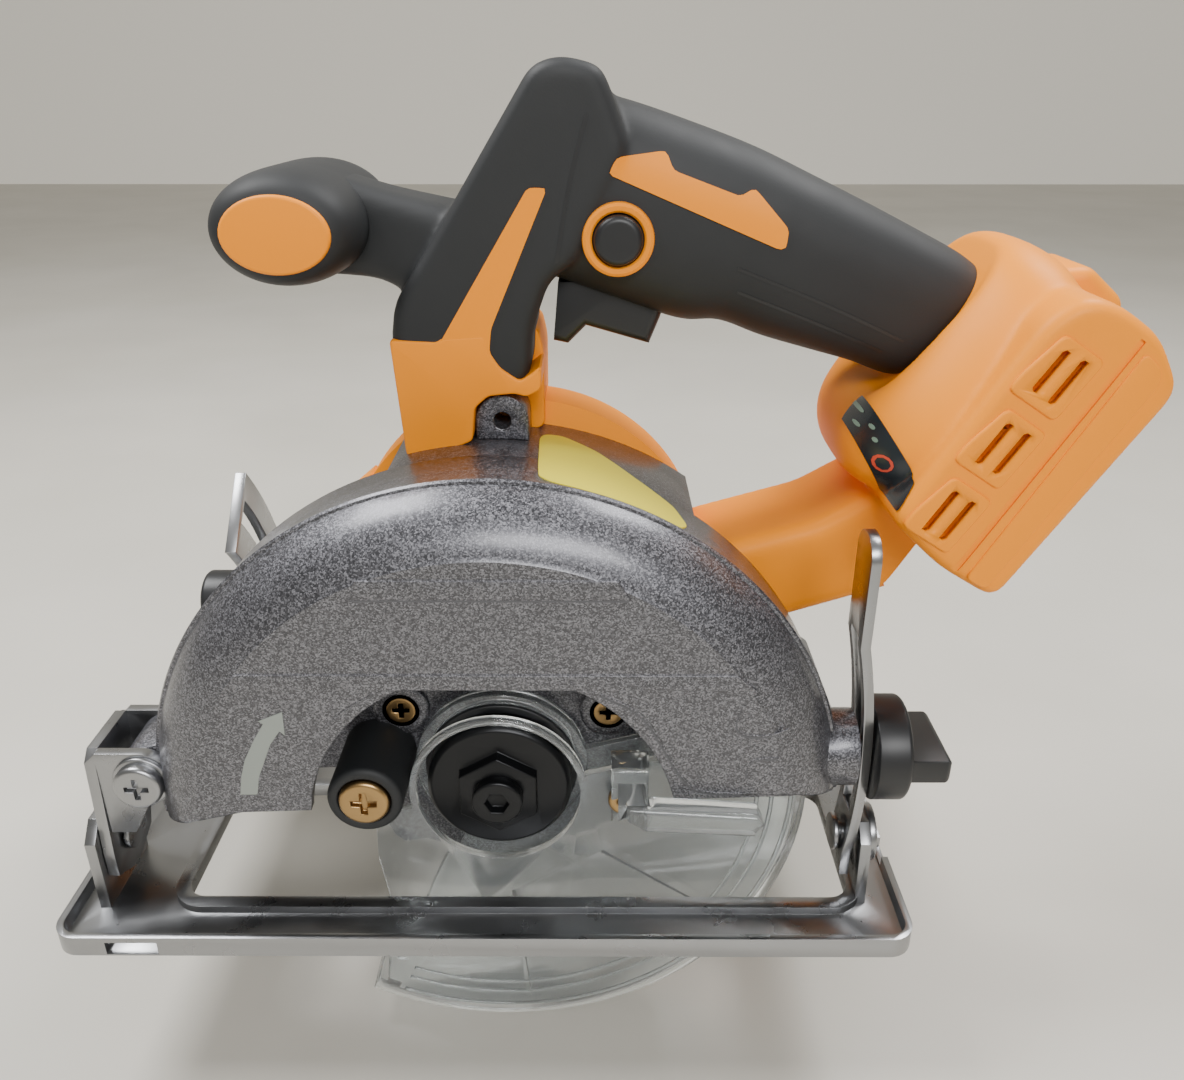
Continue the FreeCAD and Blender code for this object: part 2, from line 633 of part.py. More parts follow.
def mouth_spot(share, deep):
    """A point of the holder's lower rear face, so far down it and so deep behind it."""
    top, foot = HOLDER[4], HOLDER[5]
    along = (foot[0] - top[0], foot[1] - top[1])
    length = math.hypot(*along)
    return (top[0] + along[0] * share + along[1] / length * deep,
            top[1] + along[1] * share - along[0] / length * deep)


def mouth_outline(depth, low=0.08, high=0.92):
    """The battery mouth: a strip along the holder's lower rear face."""
    return [mouth_spot(low, -4.0), mouth_spot(high + 0.2, -4.0), mouth_spot(high + 0.2, depth),
            mouth_spot(low, depth)]


def make_handle():
    bell_clear = cylinder(bell_radius, bell_depth, bell_x, motor_front, bell_z)
    barrel_clear = cylinder(barrel_radius, barrel_depth + 12.0, barrel_x, bell_back, barrel_z)
    neck_clear = cylinder(guard_radius, housing_depth, y=guard_back_y)
    trigger_room = block(11.4, 41.0, handle_y - trigger_half - free_gap,
                         handle_y + trigger_half + free_gap, 92.0, 117.3)
    button_room = cylinder(5.15 + free_gap, 60.0, button_x, 5.0, button_z)
    far_face = handle_y + grip_half
    wells = [cylinder(3.1, 5.0, x, far_face - 4.0, z) for x, z in shell_screw_spots]
    wells += [cylinder(1.35, 22.0, x, far_face - 24.0, z) for x, z in shell_screw_spots]
    posts = [cylinder(3.6, 26.0, x, handle_y - grip_half + 3.0, z) for x, z in shell_screw_spots]
    posts += [cylinder(4.0, 5.6, trigger_x, y, trigger_z)
              for y in (handle_y - grip_half + 3.5, handle_y + grip_half - 9.1)]
    pin_hole = cylinder(2.0, 2 * grip_half - 8.0, trigger_x, handle_y - grip_half + 4.0, trigger_z)
    nest = block(-8.0, 10.6, handle_y - grip_half + 1.0, handle_y - 1.5, 72.0, 92.5)
    notch = block(lug_x - 6.7, lug_x + 6.7, 10.0, 31.0, 60.0, lug_z + 6.7)
    button_pocket = cylinder(2.9, 2.0, mode_x, handle_y - holder_half - 0.5, mode_z)
    for side, name in ((-1, "near"), (1, "far")):
        def half(outline, thick):
            if side < 0:
                return side_pad(outline, handle_y - thick, handle_y)
            return side_pad(outline, handle_y, handle_y + thick)

        core = half(inset(GRIP, cover_thick), grip_half - cover_thick)
        foot = half(FOOT, grip_half - 1.0)
        holder = soften(half(HOLDER, holder_half), 2.5, lambda middle, edge:
                        abs(middle.y - handle_y.value) > holder_half.value - 0.01)
        arm = half(ARM, 16.0)
        room = [half(inset(GRIP, cover_thick + 2.5), grip_half - cover_thick - 2.5),
                half(inset(HOLDER, 2.5), holder_half - 2.5), half(inset(ARM, 2.5), 13.5),
                half([(-19.0, 110.0), (6.0, 110.0), (8.0, 80.0), (-19.0, 80.0)], 13.5)]
        mouth = half(mouth_outline(mouth_depth), holder_half - 6.0)
        cheeks = half(mouth_outline(mouth_depth + 2.5, 0.03, 0.9), holder_half - 3.5)
        solid = fuse(core, foot, holder, arm)
        hollow = cut(solid, *room)
        frame = common(cheeks, half(HOLDER, holder_half))
        sided = block(-60.0, 150.0, handle_y if side > 0 else -10.0,
                      80.0 if side > 0 else handle_y, -20.0, 160.0)
        extras = common(fuse(*posts, nest), sided)
        shell = cut(fuse(hollow, frame, extras), mouth, trigger_room, button_room, bell_clear,
                    barrel_clear, neck_clear, notch, button_pocket, pin_hole, *wells)
        node(shell, f"handle_shell_{name}")
        cover = cut(half(GRIP, grip_half), fuse(core, foot, holder), trigger_room, button_room,
                    *wells)
        node(cover, f"grip_cover_{name}")


def make_handle_fittings():
    knob = soften(side_pad(KNOB, handle_y - 26.0, handle_y + 26.0), 5.0,
                  lambda middle, edge: abs(middle.y - handle_y.value) > 25.9)
    grip = side_pad(GRIP, 0.0, 70.0)
    inlay_near = pad("XZ_Plane", [("circle", -41.3, 125.0, 8.5)], 1.2, y=handle_y - 24.8)
    inlay_far = pad("XZ_Plane", [("circle", -41.3, 125.0, 8.5)], 1.2, y=handle_y + 26.0)
    node(cut(knob, fuse(grip, inlay_near, inlay_far)), "front_grip")
    node(group(pad("XZ_Plane", [("circle", -41.3, 125.0, 8.5)], 1.2, y=handle_y - 24.8),
               pad("XZ_Plane", [("circle", -41.3, 125.0, 8.5)], 1.2, y=handle_y + 26.0)),
         "front_grip_inlays")
    rings = [ring(7.5, 5.15 + free_gap, 1.6, button_x, y, button_z)
             for y in (handle_y - grip_half - 1.6, handle_y + grip_half)]
    node(group(*rings), "lock_button_rings")
    bolt = cylinder(5.15, 2 * grip_half + 5.0, button_x, handle_y - grip_half - 2.5, button_z)
    node(soften(bolt, 1.5, lambda middle, edge: edge.Length < 40), "lock_off_button")
    lever = side_pad([(32.0, 116.5), (39.0, 116.5), (37.4, 104.6), (35.0, 98.5), (20.7, 102.6),
                      (16.6, 98.5), (13.3, 99.2), (14.5, 112.5), (30.0, 112.5)], handle_y - trigger_half, handle_y + trigger_half)
    pin = cylinder(2.0, 2 * grip_half - 8.0, trigger_x, handle_y - grip_half + 4.0, trigger_z)
    node(cut(soften(lever, 2.0, lambda middle, edge: middle.z < 105 and
                    abs(middle.y - handle_y.value) > 6.9), cylinder(2.05, 40.0, trigger_x, 15.0,
                                                                   trigger_z)), "trigger")
    node(pin, "trigger_pin")
    node(block(44.0, 66.0, handle_y - 9.0, handle_y + 9.0, 110.0, 124.0), "switch_body")
    tray = [(95.0, 82.0), (109.0, 105.6), (112.0, 103.8), (98.0, 80.2)]
    node(side_pad(tray, handle_y - 28.0, handle_y + 28.0), "controller_board")
    base = side_pad([mouth_spot(0.3, mouth_depth), mouth_spot(0.65, mouth_depth),
                     mouth_spot(0.65, 9.0), mouth_spot(0.3, 9.0)], handle_y - 20.0, handle_y + 20.0)
    blades = [side_pad([mouth_spot(0.34, 9.2), mouth_spot(0.6, 9.2), mouth_spot(0.6, 3.0),
                        mouth_spot(0.34, 3.0)], handle_y + y, handle_y + y + 1.0)
              for y in (-14.0, -5.0, 4.0, 13.0)]
    node(fuse(base, *blades), "battery_terminal")
    near = handle_y - holder_half
    panel = side_pad([(81.0, 91.0), (88.7, 78.9), (84.9, 70.9), (76.8, 84.2)], near - 0.8, near)
    node(cut(panel, cylinder(2.9, 4.0, mode_x, near - 2.0, mode_z)), "control_panel")
    node(cylinder(2.6, 1.5, mode_x, near - 1.6, mode_z), "mode_button")
    screws = [pan_screw(2.9, 1.8, 1.3, 18.0, x, handle_y + grip_half - 2.2, z, INTO_FAR)
              for x, z in shell_screw_spots]
    node(group(*screws), "shell_screws")


# ---------------------------------------------------------------- base and brackets
bend = 3.0
window_front, window_rear = -77.0, 84.8
rear_tab_x = window_rear + 1.3
stud_angle = 14.0
slot_reach = 28.0


def make_base():
    top = -sole_z + sheet_steel
    wall = rounded(-base_front, base_rear, -base_near, base_far, 6.0)
    inner = rounded(-base_front + sheet_steel, base_rear - sheet_steel, -base_near + sheet_steel,
                    base_far - sheet_steel, 6.0 - sheet_steel.value)
    plate = plan_pad(wall, -sole_z, -sole_z + base_flange)
    room = plan_pad(inner, top, top + 20.0)
    window = rounded(window_front, window_rear, -12.0, 30.0, 5.0)
    lip = plan_pad(rounded(window_front - 3.5, window_rear + 3.5, -15.5, 33.5, 8.5), top - 0.1,
                   top + 2.0)
    front_tab = cross_pad([(-14.0, float(top) - 0.5), (-14.0, -10.0), (-10.0, -5.5), (4.0, -5.5),
                           (8.0, -10.0), (8.0, float(top) - 0.5)], -97.0, -97.0 + bracket_steel)
    rear_tab = cross_pad([(-12.0, float(top) - 0.5), (-11.0, -12.0), (-7.0, -8.5), (1.0, -8.5),
                          (5.0, -12.0), (6.0, float(top) - 0.5)], rear_tab_x,
                         rear_tab_x + bracket_steel)
    slots = [block(-90.0, -78.0, y, y + 6.0, -30.6, -27.1)
             for y in (-base_near - 2.0, base_far - 4.0)]
    notch = block(base_rear - 4.0, base_rear + 2.0, 0.0, 7.0, -sole_z + 2.6, 0.0)
    rivet_holes = cylinder(2.6, 220.0, -110.0, tilt_y, tilt_z, ALONG_X)
    slab = cut(plate, room)
    whole = fuse(slab, lip, front_tab, rear_tab)
    node(cut(whole, plan_pad(window, -40.0, 0.0), *slots, notch, rivet_holes), "base_plate")


def make_quadrant():
    y, z = tilt_y, tilt_z
    inner = 72.0
    plate = cross_pad(sector(inner, quadrant_radius, -8.0, 45.6, y, z), -77.5, -74.5)
    foot = block(-77.5, -62.0, y + 66.0, y + 92.0, -sole_z + sheet_steel, -sole_z + 3.8)
    riser = block(-77.5, -74.5, y + 66.0, y + 92.0, -sole_z + sheet_steel, -12.0)
    slot = cross_pad(sector(slot_radius - 3.4, slot_radius + 3.4, stud_angle - 2.4,
                            stud_angle + slot_reach + 2.4, y, z), -80.0, -70.0)
    node(cut(fuse(plate, foot, riser), slot), "bevel_quadrant")


def make_rivets():
    front = fuse(cylinder(7.0, 1.8, -98.8, tilt_y, tilt_z, ALONG_X),
                 cylinder(2.55, 8.0, -98.0, tilt_y, tilt_z, ALONG_X),
                 cylinder(4.5, 1.4, -91.4, tilt_y, tilt_z, ALONG_X))
    rear = fuse(cylinder(7.0, 1.8, rear_tab_x + bracket_steel, tilt_y, tilt_z, ALONG_X),
                cylinder(2.55, 8.4, rear_tab_x - 5.2, tilt_y, tilt_z, ALONG_X),
                cylinder(4.5, 1.3, rear_tab_x - 5.5, tilt_y, tilt_z, ALONG_X))
    node(group(front, rear), "bevel_rivets")


def make_front_bracket():
    steel = bracket_steel
    leg = cross_pad([(-10.5, 11.0), (-8.0, 13.5), (7.0, 13.5), (9.5, 11.0), (9.5, -14.5),
                     (7.0, -21.0), (-3.0, -25.5), (-12.0, -21.0), (-12.0, -14.5)], -94.2, -94.2 + steel)
    cheek = [(-94.0, -9.0), (-94.0, 11.0), (-91.5, 13.5), (-81.5, 13.5), (-74.5, 6.5, -81.5, -0.5),
             (-86.0, -9.0)]
    near = side_pad(cheek, -10.5, -8.0)
    far = side_pad(cheek, 7.0, 9.5)
    stud_y, stud_z = polar(slot_radius, stud_angle, tilt_y, tilt_z)
    arm = cross_pad([(9.0, 12.0), (40.0, 16.5), (stud_y - 2, stud_z + 7.5), (stud_y + 6, stud_z + 3),
                     (stud_y + 6, stud_z - 5), (40.0, -2.0), (9.0, -8.0)], -81.3, -78.8)
    link = fuse(block(-94.0, -79.6, 7.0, 9.5, -8.0, 12.0), block(-81.3, -78.8, 9.2, 12.0, -8.0, 12.0))
    pivot = cylinder(3.0, 40.0, depth_x, -20.0, depth_z)
    rivet = cylinder(2.6, 20.0, -100.0, tilt_y, tilt_z, ALONG_X)
    stud_hole = cylinder(3.0, 20.0, -90.0, stud_y, stud_z, ALONG_X)
    whole = fuse(leg, near, far, arm, link)
    node(cut(whole, pivot, rivet, stud_hole), "front_bracket")
    stem = cylinder(2.9, 22.0, -91.0, stud_y, stud_z, ALONG_X)
    flat = block(-74.2, -71.0, stud_y - 5, stud_y + 5, stud_z - 5, stud_z + 5)
    node(fuse(stem, flat), "bevel_stud")
    knob = soften(cylinder(9.0, 15.5, -97.5, stud_y, stud_z, ALONG_X), 1.5,
                  lambda middle, edge: middle.x < -97.4)
    wing = block(-95.5, -84.0, stud_y - 14.0, stud_y + 14.0, stud_z - 3.0, stud_z + 3.0)
    socket = cylinder(2.95, 10.0, -91.2, stud_y, stud_z, ALONG_X)
    node(cut(fuse(knob, wing), socket), "bevel_knob")


def make_depth_pivot():
    node(pan_screw(5.6, 2.6, 2.95, 21.5, depth_x, -14.4, depth_z), "depth_pivot_screw")
    node(ring(6.5, 3.0, 1.3, depth_x, -11.8, depth_z), "depth_pivot_washer")


def make_depth_bar():
    inner, outer = bar_radius, bar_radius + bar_thick
    low, high = -7.0, 11.9
    near_y, far_y = tilt_y - bar_width / 2, tilt_y + bar_width / 2
    curve = side_pad(sector(inner, outer, low, high, depth_x, depth_z), near_y, far_y)
    top = polar(inner, high, depth_x, depth_z)
    straight = block(top[0], top[0] + bar_thick.value, near_y, far_y, top[1] - 0.3, 66.0)
    straight = soften(straight, 5.5, lambda middle, edge: middle.z > 65.9 and edge.Length < 3)
    toe = polar(inner, low, depth_x, depth_z)
    foot = side_pad([(toe[0], toe[1] + 0.5), (toe[0] + bar_thick.value, toe[1] + 0.5),
                     (84.5, -16.5), (84.5, -23.0), (82.3, -23.0), (82.3, -16.5)], near_y, far_y)
    slot = block(60.0, 100.0, tilt_y - 3.2, tilt_y + 3.2, -6.0, 42.0)
    hole = cylinder(2.6, 30.0, 70.0, tilt_y, tilt_z, ALONG_X)
    node(cut(fuse(curve, straight, foot), slot, hole), "depth_bar")


stud_z = 10.8
boss_face = 83.0


def make_depth_lock():
    body = cylinder(9.0, boss_face - 73.0, 73.0, tilt_y, stud_z, ALONG_X)
    arm = block(70.0, 76.0, -9.0, 9.0, 5.0, 16.0)
    clear = fuse(cylinder(lower_radius + free_gap, 30.0, y=-15.0),
                 bowl(float(guard_radius), float(guard_face_radius), float(guard_front_y),
                      float(guard_rim_y), float(guard_back_y)))
    node(cut(fuse(body, arm), clear, cylinder(2.9, 40.0, 60.0, tilt_y, stud_z, ALONG_X)),
         "depth_boss")
    node(cylinder(2.9, 13.5, 79.0, tilt_y, stud_z, ALONG_X), "depth_stud")
    knob = soften(cylinder(knob_radius, 7.7, 86.6, tilt_y, stud_z, ALONG_X), 1.2,
                  lambda middle, edge: middle.x > 94.2)
    wing = soften(block(92.0, 103.7, tilt_y - 10.0, tilt_y + 10.0, stud_z - 3.0, stud_z + 3.0), 1.5,
                  lambda middle, edge: middle.x > 103.6)
    node(cut(fuse(knob, wing), cylinder(2.95, 7.0, 86.0, tilt_y, stud_z, ALONG_X)), "depth_knob")


def make_pivot_lug():
    lug = side_pad([(-66.0, 18.0), (-81.5, 13.0), (-88.0, 6.5, -81.5, 0.0), (-70.0, 1.0)], -7.6, 6.6)
    clear = cylinder(guard_radius, 40.0, y=-20.0)
    node(cut(lug, clear, cylinder(3.0, 40.0, depth_x, -20.0, depth_z)), "pivot_lug")


make_spindle()
make_rotor()
make_bearings()
make_upper_guard()
make_gear_housing()
make_bearing_box()
make_housing_screws()
make_bumper()
make_lower_guard()
make_lever()
make_motor_housing()
make_handle()
make_handle_fittings()
make_base()
make_quadrant()
make_rivets()
make_front_bracket()
make_depth_pivot()
make_depth_bar()
make_depth_lock()
make_pivot_lug()

doc.recompute()
for thing in doc.Objects:
    if "Invalid" in thing.State or "Error" in thing.State:
        raise RuntimeError(f"{thing.Label}: {thing.State}")
os.makedirs("parts", exist_ok=True)
for thing in NODES:
    shape = thing.Shape
    if shape.isNull() or not shape.isValid() or not shape.Solids:
        raise RuntimeError(f"{thing.Label}: no valid solid")
    print(f"{thing.Label:22s} solids {len(shape.Solids)} volume {shape.Volume:10.1f}")
    shape.exportStep(f"parts/{thing.Label}.step")
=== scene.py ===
"""Cordless circular saw on a pale floor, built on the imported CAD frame.
Lengths in this script are millimetres; make() and MM turn them to metres.
X runs to the rear, Y to the motor, Z up."""
import json
import math

import bmesh
import bpy
import numpy as np
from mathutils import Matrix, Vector


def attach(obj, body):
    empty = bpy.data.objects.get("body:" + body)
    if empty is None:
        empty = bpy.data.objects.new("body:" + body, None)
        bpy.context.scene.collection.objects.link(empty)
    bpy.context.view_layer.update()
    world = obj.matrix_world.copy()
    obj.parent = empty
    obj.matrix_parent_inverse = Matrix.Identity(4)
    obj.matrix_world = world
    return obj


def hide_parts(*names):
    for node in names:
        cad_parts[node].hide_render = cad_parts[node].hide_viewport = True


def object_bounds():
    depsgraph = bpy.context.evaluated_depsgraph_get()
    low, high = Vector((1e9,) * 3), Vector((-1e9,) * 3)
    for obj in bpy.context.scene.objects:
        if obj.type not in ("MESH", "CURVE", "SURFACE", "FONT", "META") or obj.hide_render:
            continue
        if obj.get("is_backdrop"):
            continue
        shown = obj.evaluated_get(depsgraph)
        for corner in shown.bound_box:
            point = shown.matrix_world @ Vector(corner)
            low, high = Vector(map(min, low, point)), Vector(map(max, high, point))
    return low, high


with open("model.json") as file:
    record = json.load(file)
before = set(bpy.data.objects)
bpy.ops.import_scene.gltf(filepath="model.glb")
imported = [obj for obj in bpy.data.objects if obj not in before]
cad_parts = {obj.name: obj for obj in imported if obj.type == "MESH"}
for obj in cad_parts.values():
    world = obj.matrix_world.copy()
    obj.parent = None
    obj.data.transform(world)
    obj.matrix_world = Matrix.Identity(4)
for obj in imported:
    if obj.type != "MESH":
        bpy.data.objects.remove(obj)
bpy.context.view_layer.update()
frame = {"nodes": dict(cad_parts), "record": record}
MM = 0.001
NODES = frame["nodes"]
SLOTS = {part["node"]: part["material_slot"] for part in frame["record"]["subparts"]}


# ---------------------------------------------------------------- materials
def linear(code):
    """sRGB hex to linear RGBA: ((c + 0.055) / 1.055) ** 2.4 above 0.04045, else c / 12.92."""
    parts = [int(code[i:i + 2], 16) / 255 for i in (1, 3, 5)]
    return [c / 12.92 if c <= 0.04045 else ((c + 0.055) / 1.055) ** 2.4 for c in parts] + [1.0]


def add(material, kind, settings=None, **links):
    """Adds one node. Settings are its properties; links name its sockets, as Scale or as _0 for the first,
    and give each a value or the output to join."""
    made = material.node_tree.nodes.new(kind)
    for key, value in (settings or {}).items():
        setattr(made, key, value)
    for key, value in links.items():
        socket = made.inputs[int(key[1:]) if key[1:].isdigit() else key]
        if isinstance(value, bpy.types.NodeSocket):
            material.node_tree.links.new(value, socket)
        else:
            socket.default_value = value
    return made


def join(material, output, socket):
    """Joins an output to one socket of the material's surface."""
    surface = material.node_tree.nodes["Principled BSDF"]
    material.node_tree.links.new(output, surface.inputs[socket])


def plain(name, code, roughness, metallic=0.0, **sockets):
    """A material that is even all over."""
    material = bpy.data.materials.new(name)
    material.use_nodes = True
    surface = material.node_tree.nodes["Principled BSDF"]
    values = {"Base Color": linear(code), "Roughness": roughness, "Metallic": metallic, **sockets}
    for socket, value in values.items():
        surface.inputs[socket].default_value = value
    return material


def grained(material, cloud, rough, relief=None):
    """Clouds the roughness between two values and raises a fine relief.
    Cloud is (grain, detail), rough is (low, high) and relief is (grain, detail, depth, strength)."""
    place = add(material, "ShaderNodeTexCoord").outputs["Object"]
    grain, detail = cloud
    noise = add(material, "ShaderNodeTexNoise", Vector=place, Scale=1 / (grain * MM), Detail=detail)
    spread = add(material, "ShaderNodeMapRange", _0=noise.outputs[0], _3=rough[0], _4=rough[1])
    join(material, spread.outputs[0], "Roughness")
    if relief:
        grain, detail, depth, strength = relief
        noise = add(material, "ShaderNodeTexNoise", Vector=place, Scale=1 / (grain * MM), Detail=detail)
        raised = add(material, "ShaderNodeBump", Height=noise.outputs[0], Strength=strength,
                     Distance=depth * MM)
        join(material, raised.outputs[0], "Normal")
    return material


def silver_casting():
    """Silver paint with coarse metal flake under a clear coat: a grey that sparkles in 0.3 mm flakes."""
    paint = plain("silver_flake_paint", "#8b8b8d", 0.42, 0.75,
                  **{"Coat Weight": 0.35, "Coat Roughness": 0.18})
    place = add(paint, "ShaderNodeTexCoord").outputs["Object"]
    cells = add(paint, "ShaderNodeTexVoronoi", Vector=place, Scale=1 / (FLAKE * MM))
    flake = add(paint, "ShaderNodeSeparateColor", _0=cells.outputs["Color"]).outputs[0]
    sparkle = add(paint, "ShaderNodeMath", {"operation": "POWER"}, _0=flake, _1=2.0).outputs[0]
    mix = add(paint, "ShaderNodeMix", {"data_type": "RGBA"}, _0=sparkle, _6=linear("#47474b"),
              _7=linear("#8e8e94"))
    join(paint, mix.outputs[2], "Base Color")
    spread = add(paint, "ShaderNodeMapRange", _0=flake, _3=0.3, _4=0.55)
    join(paint, spread.outputs[0], "Roughness")
    raised = add(paint, "ShaderNodeBump", Height=flake, Strength=0.5, Distance=FLAKE_DEPTH * MM)
    join(paint, raised.outputs[0], "Normal")
    return paint


def zinc_plate(name, code, roughness):
    """Bright zinc on pressed steel: clouded gloss, with faint waves from rolling."""
    steel = plain(name, code, roughness, 1.0)
    return grained(steel, (9.0, 3.0), (roughness * 0.7, roughness * 1.7), (14.0, 2.0, 0.05, 0.35))


def rubber():
    """Thermoplastic overmould: dull black with a fine spark-eroded grain."""
    mould = plain("black_overmould_rubber", "#1b1d1f", 0.62)
    return grained(mould, (12.0, 2.0), (0.55, 0.7), (0.35, 3.0, 0.03, 0.5))


def orange_nylon():
    """Glass-filled nylon, moulded: satin orange with a fine texture."""
    shell = plain("orange_nylon", "#f99300", 0.5, **{"Specular IOR Level": 0.25})
    return grained(shell, (10.0, 2.0), (0.44, 0.56), (0.5, 3.0, 0.03, 0.45))


def clear_plastic():
    """Moulded polycarbonate: clear, a little milky, lightly scuffed."""
    sheet = plain("clear_polycarbonate", "#f2f6f7", 0.04, **{"Transmission Weight": 0.93, "IOR": 1.45})
    return grained(sheet, (20.0, 4.0), (0.02, 0.12))


def pale_floor():
    """Pale stone tile, faintly clouded."""
    tile = plain("pale_floor", "#c9c5bb", 0.45)
    place = add(tile, "ShaderNodeTexCoord").outputs["Object"]
    cloud = add(tile, "ShaderNodeTexNoise", Vector=place, Scale=1 / (160.0 * MM), Detail=4.0)
    mix = add(tile, "ShaderNodeMix", {"data_type": "RGBA"}, _0=cloud.outputs[0], _6=linear("#bdb9ae"),
              _7=linear("#d6d2c9"))
    join(tile, mix.outputs[2], "Base Color")
    return tile


FLAKE = 0.3
FLAKE_DEPTH = 0.035
SILVER = silver_casting()
ZINC = zinc_plate("bright_zinc_plate", "#9b9c9e", 0.25)
RUBBER = rubber()
ORANGE = orange_nylon()
CLEAR = clear_plastic()
# Satin moulded nylon of the trigger, knobs and end cover.
BLACK = plain("black_nylon", "#1b1c1e", 0.42)
# Oiled black oxide: dark with a soft metal sheen.
BLACK_STEEL = plain("black_oxide_steel", "#1d1e20", 0.33, 0.6)
GOLD = zinc_plate("yellow_passivated_zinc", "#a5875c", 0.3)
STEEL = plain("ground_steel", "#b4b4b6", 0.25, 1.0)
STICKER = plain("yellow_vinyl_sticker", "#dfd12c", 0.35)
COPPER = plain("enamelled_copper", "#a65f2d", 0.3, 0.8)
BOARD = plain("potted_circuit_board", "#123c26", 0.4)
PANEL = plain("black_membrane_panel", "#20262a", 0.25)
RED = plain("red_print", "#c8452e", 0.4)
# Painted shade: a dark grey laid along the lower, front side of each shallow line in the casting, where
# shade falls.
PAINTED_LINE_SHADE = plain("casting_seam_shadow", "#5b5b5f", 0.6, 0.4)
PRINT = plain("grey_printed_arrow", "#8f9590", 0.4, 0.2)
LAMP = plain("lamp_lens_green_grey", "#6f8577", 0.3)
FINISHES = {"zinc_steel": ZINC, "silver_paint": SILVER, "clear_plastic": CLEAR, "black_plastic": BLACK,
            "black_rubber": RUBBER, "orange_plastic": ORANGE, "black_steel": BLACK_STEEL,
            "gold_steel": GOLD, "steel": STEEL, "aluminium": STEEL, "copper": COPPER, "board": BOARD}


# ---------------------------------------------------------------- building surfaces
def rounded(corners, radius, steps=6):
    """Closed outline with each corner C cut back to A and B and joined by (1-s)^2 A + 2s(1-s) C + s^2 B."""
    c = np.asarray(corners, float)
    before, after = np.roll(c, 1, 0) - c, np.roll(c, -1, 0) - c
    reach_a, reach_b = np.linalg.norm(before, axis=1), np.linalg.norm(after, axis=1)
    back = np.minimum(radius, 0.48 * np.minimum(reach_a, reach_b))[:, None]
    a = c + before / reach_a[:, None] * back
    b = c + after / reach_b[:, None] * back
    s = np.linspace(0, 1, steps)[None, :, None]
    curve = (1 - s) ** 2 * a[:, None] + 2 * s * (1 - s) * c[:, None] + s ** 2 * b[:, None]
    return curve.reshape(-1, 2)


def even(outline, spacing):
    """The same closed outline with points at an even spacing along it."""
    loop = np.vstack([outline, outline[:1]])
    run = np.concatenate([[0], np.cumsum(np.linalg.norm(np.diff(loop, axis=0), axis=1))])
    count = max(8, int(round(run[-1] / spacing)))
    at = np.linspace(0, run[-1], count, endpoint=False)
    return np.column_stack([np.interp(at, run, loop[:, k]) for k in (0, 1)])


def outward(outline):
    """Unit normals of a closed outline, pointing out."""
    along = np.roll(outline, -1, 0) - np.roll(outline, 1, 0)
    along /= np.linalg.norm(along, axis=1)[:, None]
    x, z = outline.T
    turn = np.sign(np.sum(x * np.roll(z, -1) - np.roll(x, -1) * z))
    return np.column_stack([along[:, 1], -along[:, 0]]) * turn


def make(name, points, faces, material, smooth=True):
    """A mesh from points in millimetres."""
    mesh = bpy.data.meshes.new(name)
    mesh.from_pydata((np.asarray(points) * MM).tolist(), [], [list(map(int, face)) for face in faces])
    mesh.materials.append(material)
    mesh.shade_smooth() if smooth else mesh.shade_flat()
    obj = bpy.data.objects.new(name, mesh)
    bpy.context.scene.collection.objects.link(obj)
    return obj


def skin(rows, closed=True, caps=True):
    """Points and faces of a surface through equal rows of points; closed joins each row's ends."""
    rows = np.asarray(rows, float)
    count, width = rows.shape[:2]
    index = np.arange(count * width).reshape(count, width)
    ahead = np.roll(index, -1, 1) if closed else index[:, 1:]
    here = index if closed else index[:, :-1]
    quads = np.stack([here[:-1], ahead[:-1], ahead[1:], here[1:]], -1).reshape(-1, 4)
    faces = quads.tolist()
    if caps:
        faces += [index[0, ::-1].tolist(), index[-1].tolist()]
    return rows.reshape(-1, 3), faces


def recalc(obj):
    """Turns every face outwards."""
    work = bmesh.new()
    work.from_mesh(obj.data)
    bmesh.ops.recalc_face_normals(work, faces=work.faces)
    work.to_mesh(obj.data)
    work.free()
    return obj


def sharpen(obj, degrees=35):
    """Keeps edges over that angle crisp."""
    obj.data.set_sharp_from_angle(angle=math.radians(degrees))
    return obj


PLANES = {"xz": lambda p, d: np.stack([p[..., 0], d, p[..., 1]], -1),
          "yz": lambda p, d: np.stack([d, p[..., 0], p[..., 1]], -1),
          "xy": lambda p, d: np.stack([p[..., 0], p[..., 1], d], -1)}


def slab(name, outline, low, high, edge, material, plane="xz", edge_high=None, spacing=1.2, steps=5):
    """An outline swept from low to high. Each rim is a quarter round: inset e(1 - sin t) at depth
    e(1 - cos t), with e its size."""
    ring = even(np.asarray(outline, float), spacing)
    normal = outward(ring)
    far = edge if edge_high is None else edge_high
    t = np.linspace(0, math.pi / 2, steps)
    inset = np.concatenate([edge * (1 - np.sin(t)), far * (1 - np.sin(t[::-1]))])
    depth = np.concatenate([low + edge * (1 - np.cos(t)), high - far * (1 - np.cos(t[::-1]))])
    flat = ring[None] - normal[None] * inset[:, None, None]
    rows = PLANES[plane](flat, np.broadcast_to(depth[:, None], flat.shape[:2]))
    return sharpen(recalc(make(name, *skin(rows), material)))


def lathe(name, profile, centre, axis, material, sides=64):
    """A profile of (radius, distance along the axis) turned once round an axis through the centre."""
    profile = np.asarray(profile, float)
    turn = np.linspace(0, 2 * math.pi, sides, endpoint=False)
    radius, along = profile[:, :1], profile[:, 1:] * np.ones(sides)
    u, v = radius * np.cos(turn), radius * np.sin(turn)
    order = {"x": (along, u, v), "y": (u, along, v), "z": (u, v, along)}[axis]
    rows = np.stack(order, -1) + np.asarray(centre, float)
    return sharpen(recalc(make(name, *skin(rows), material)))


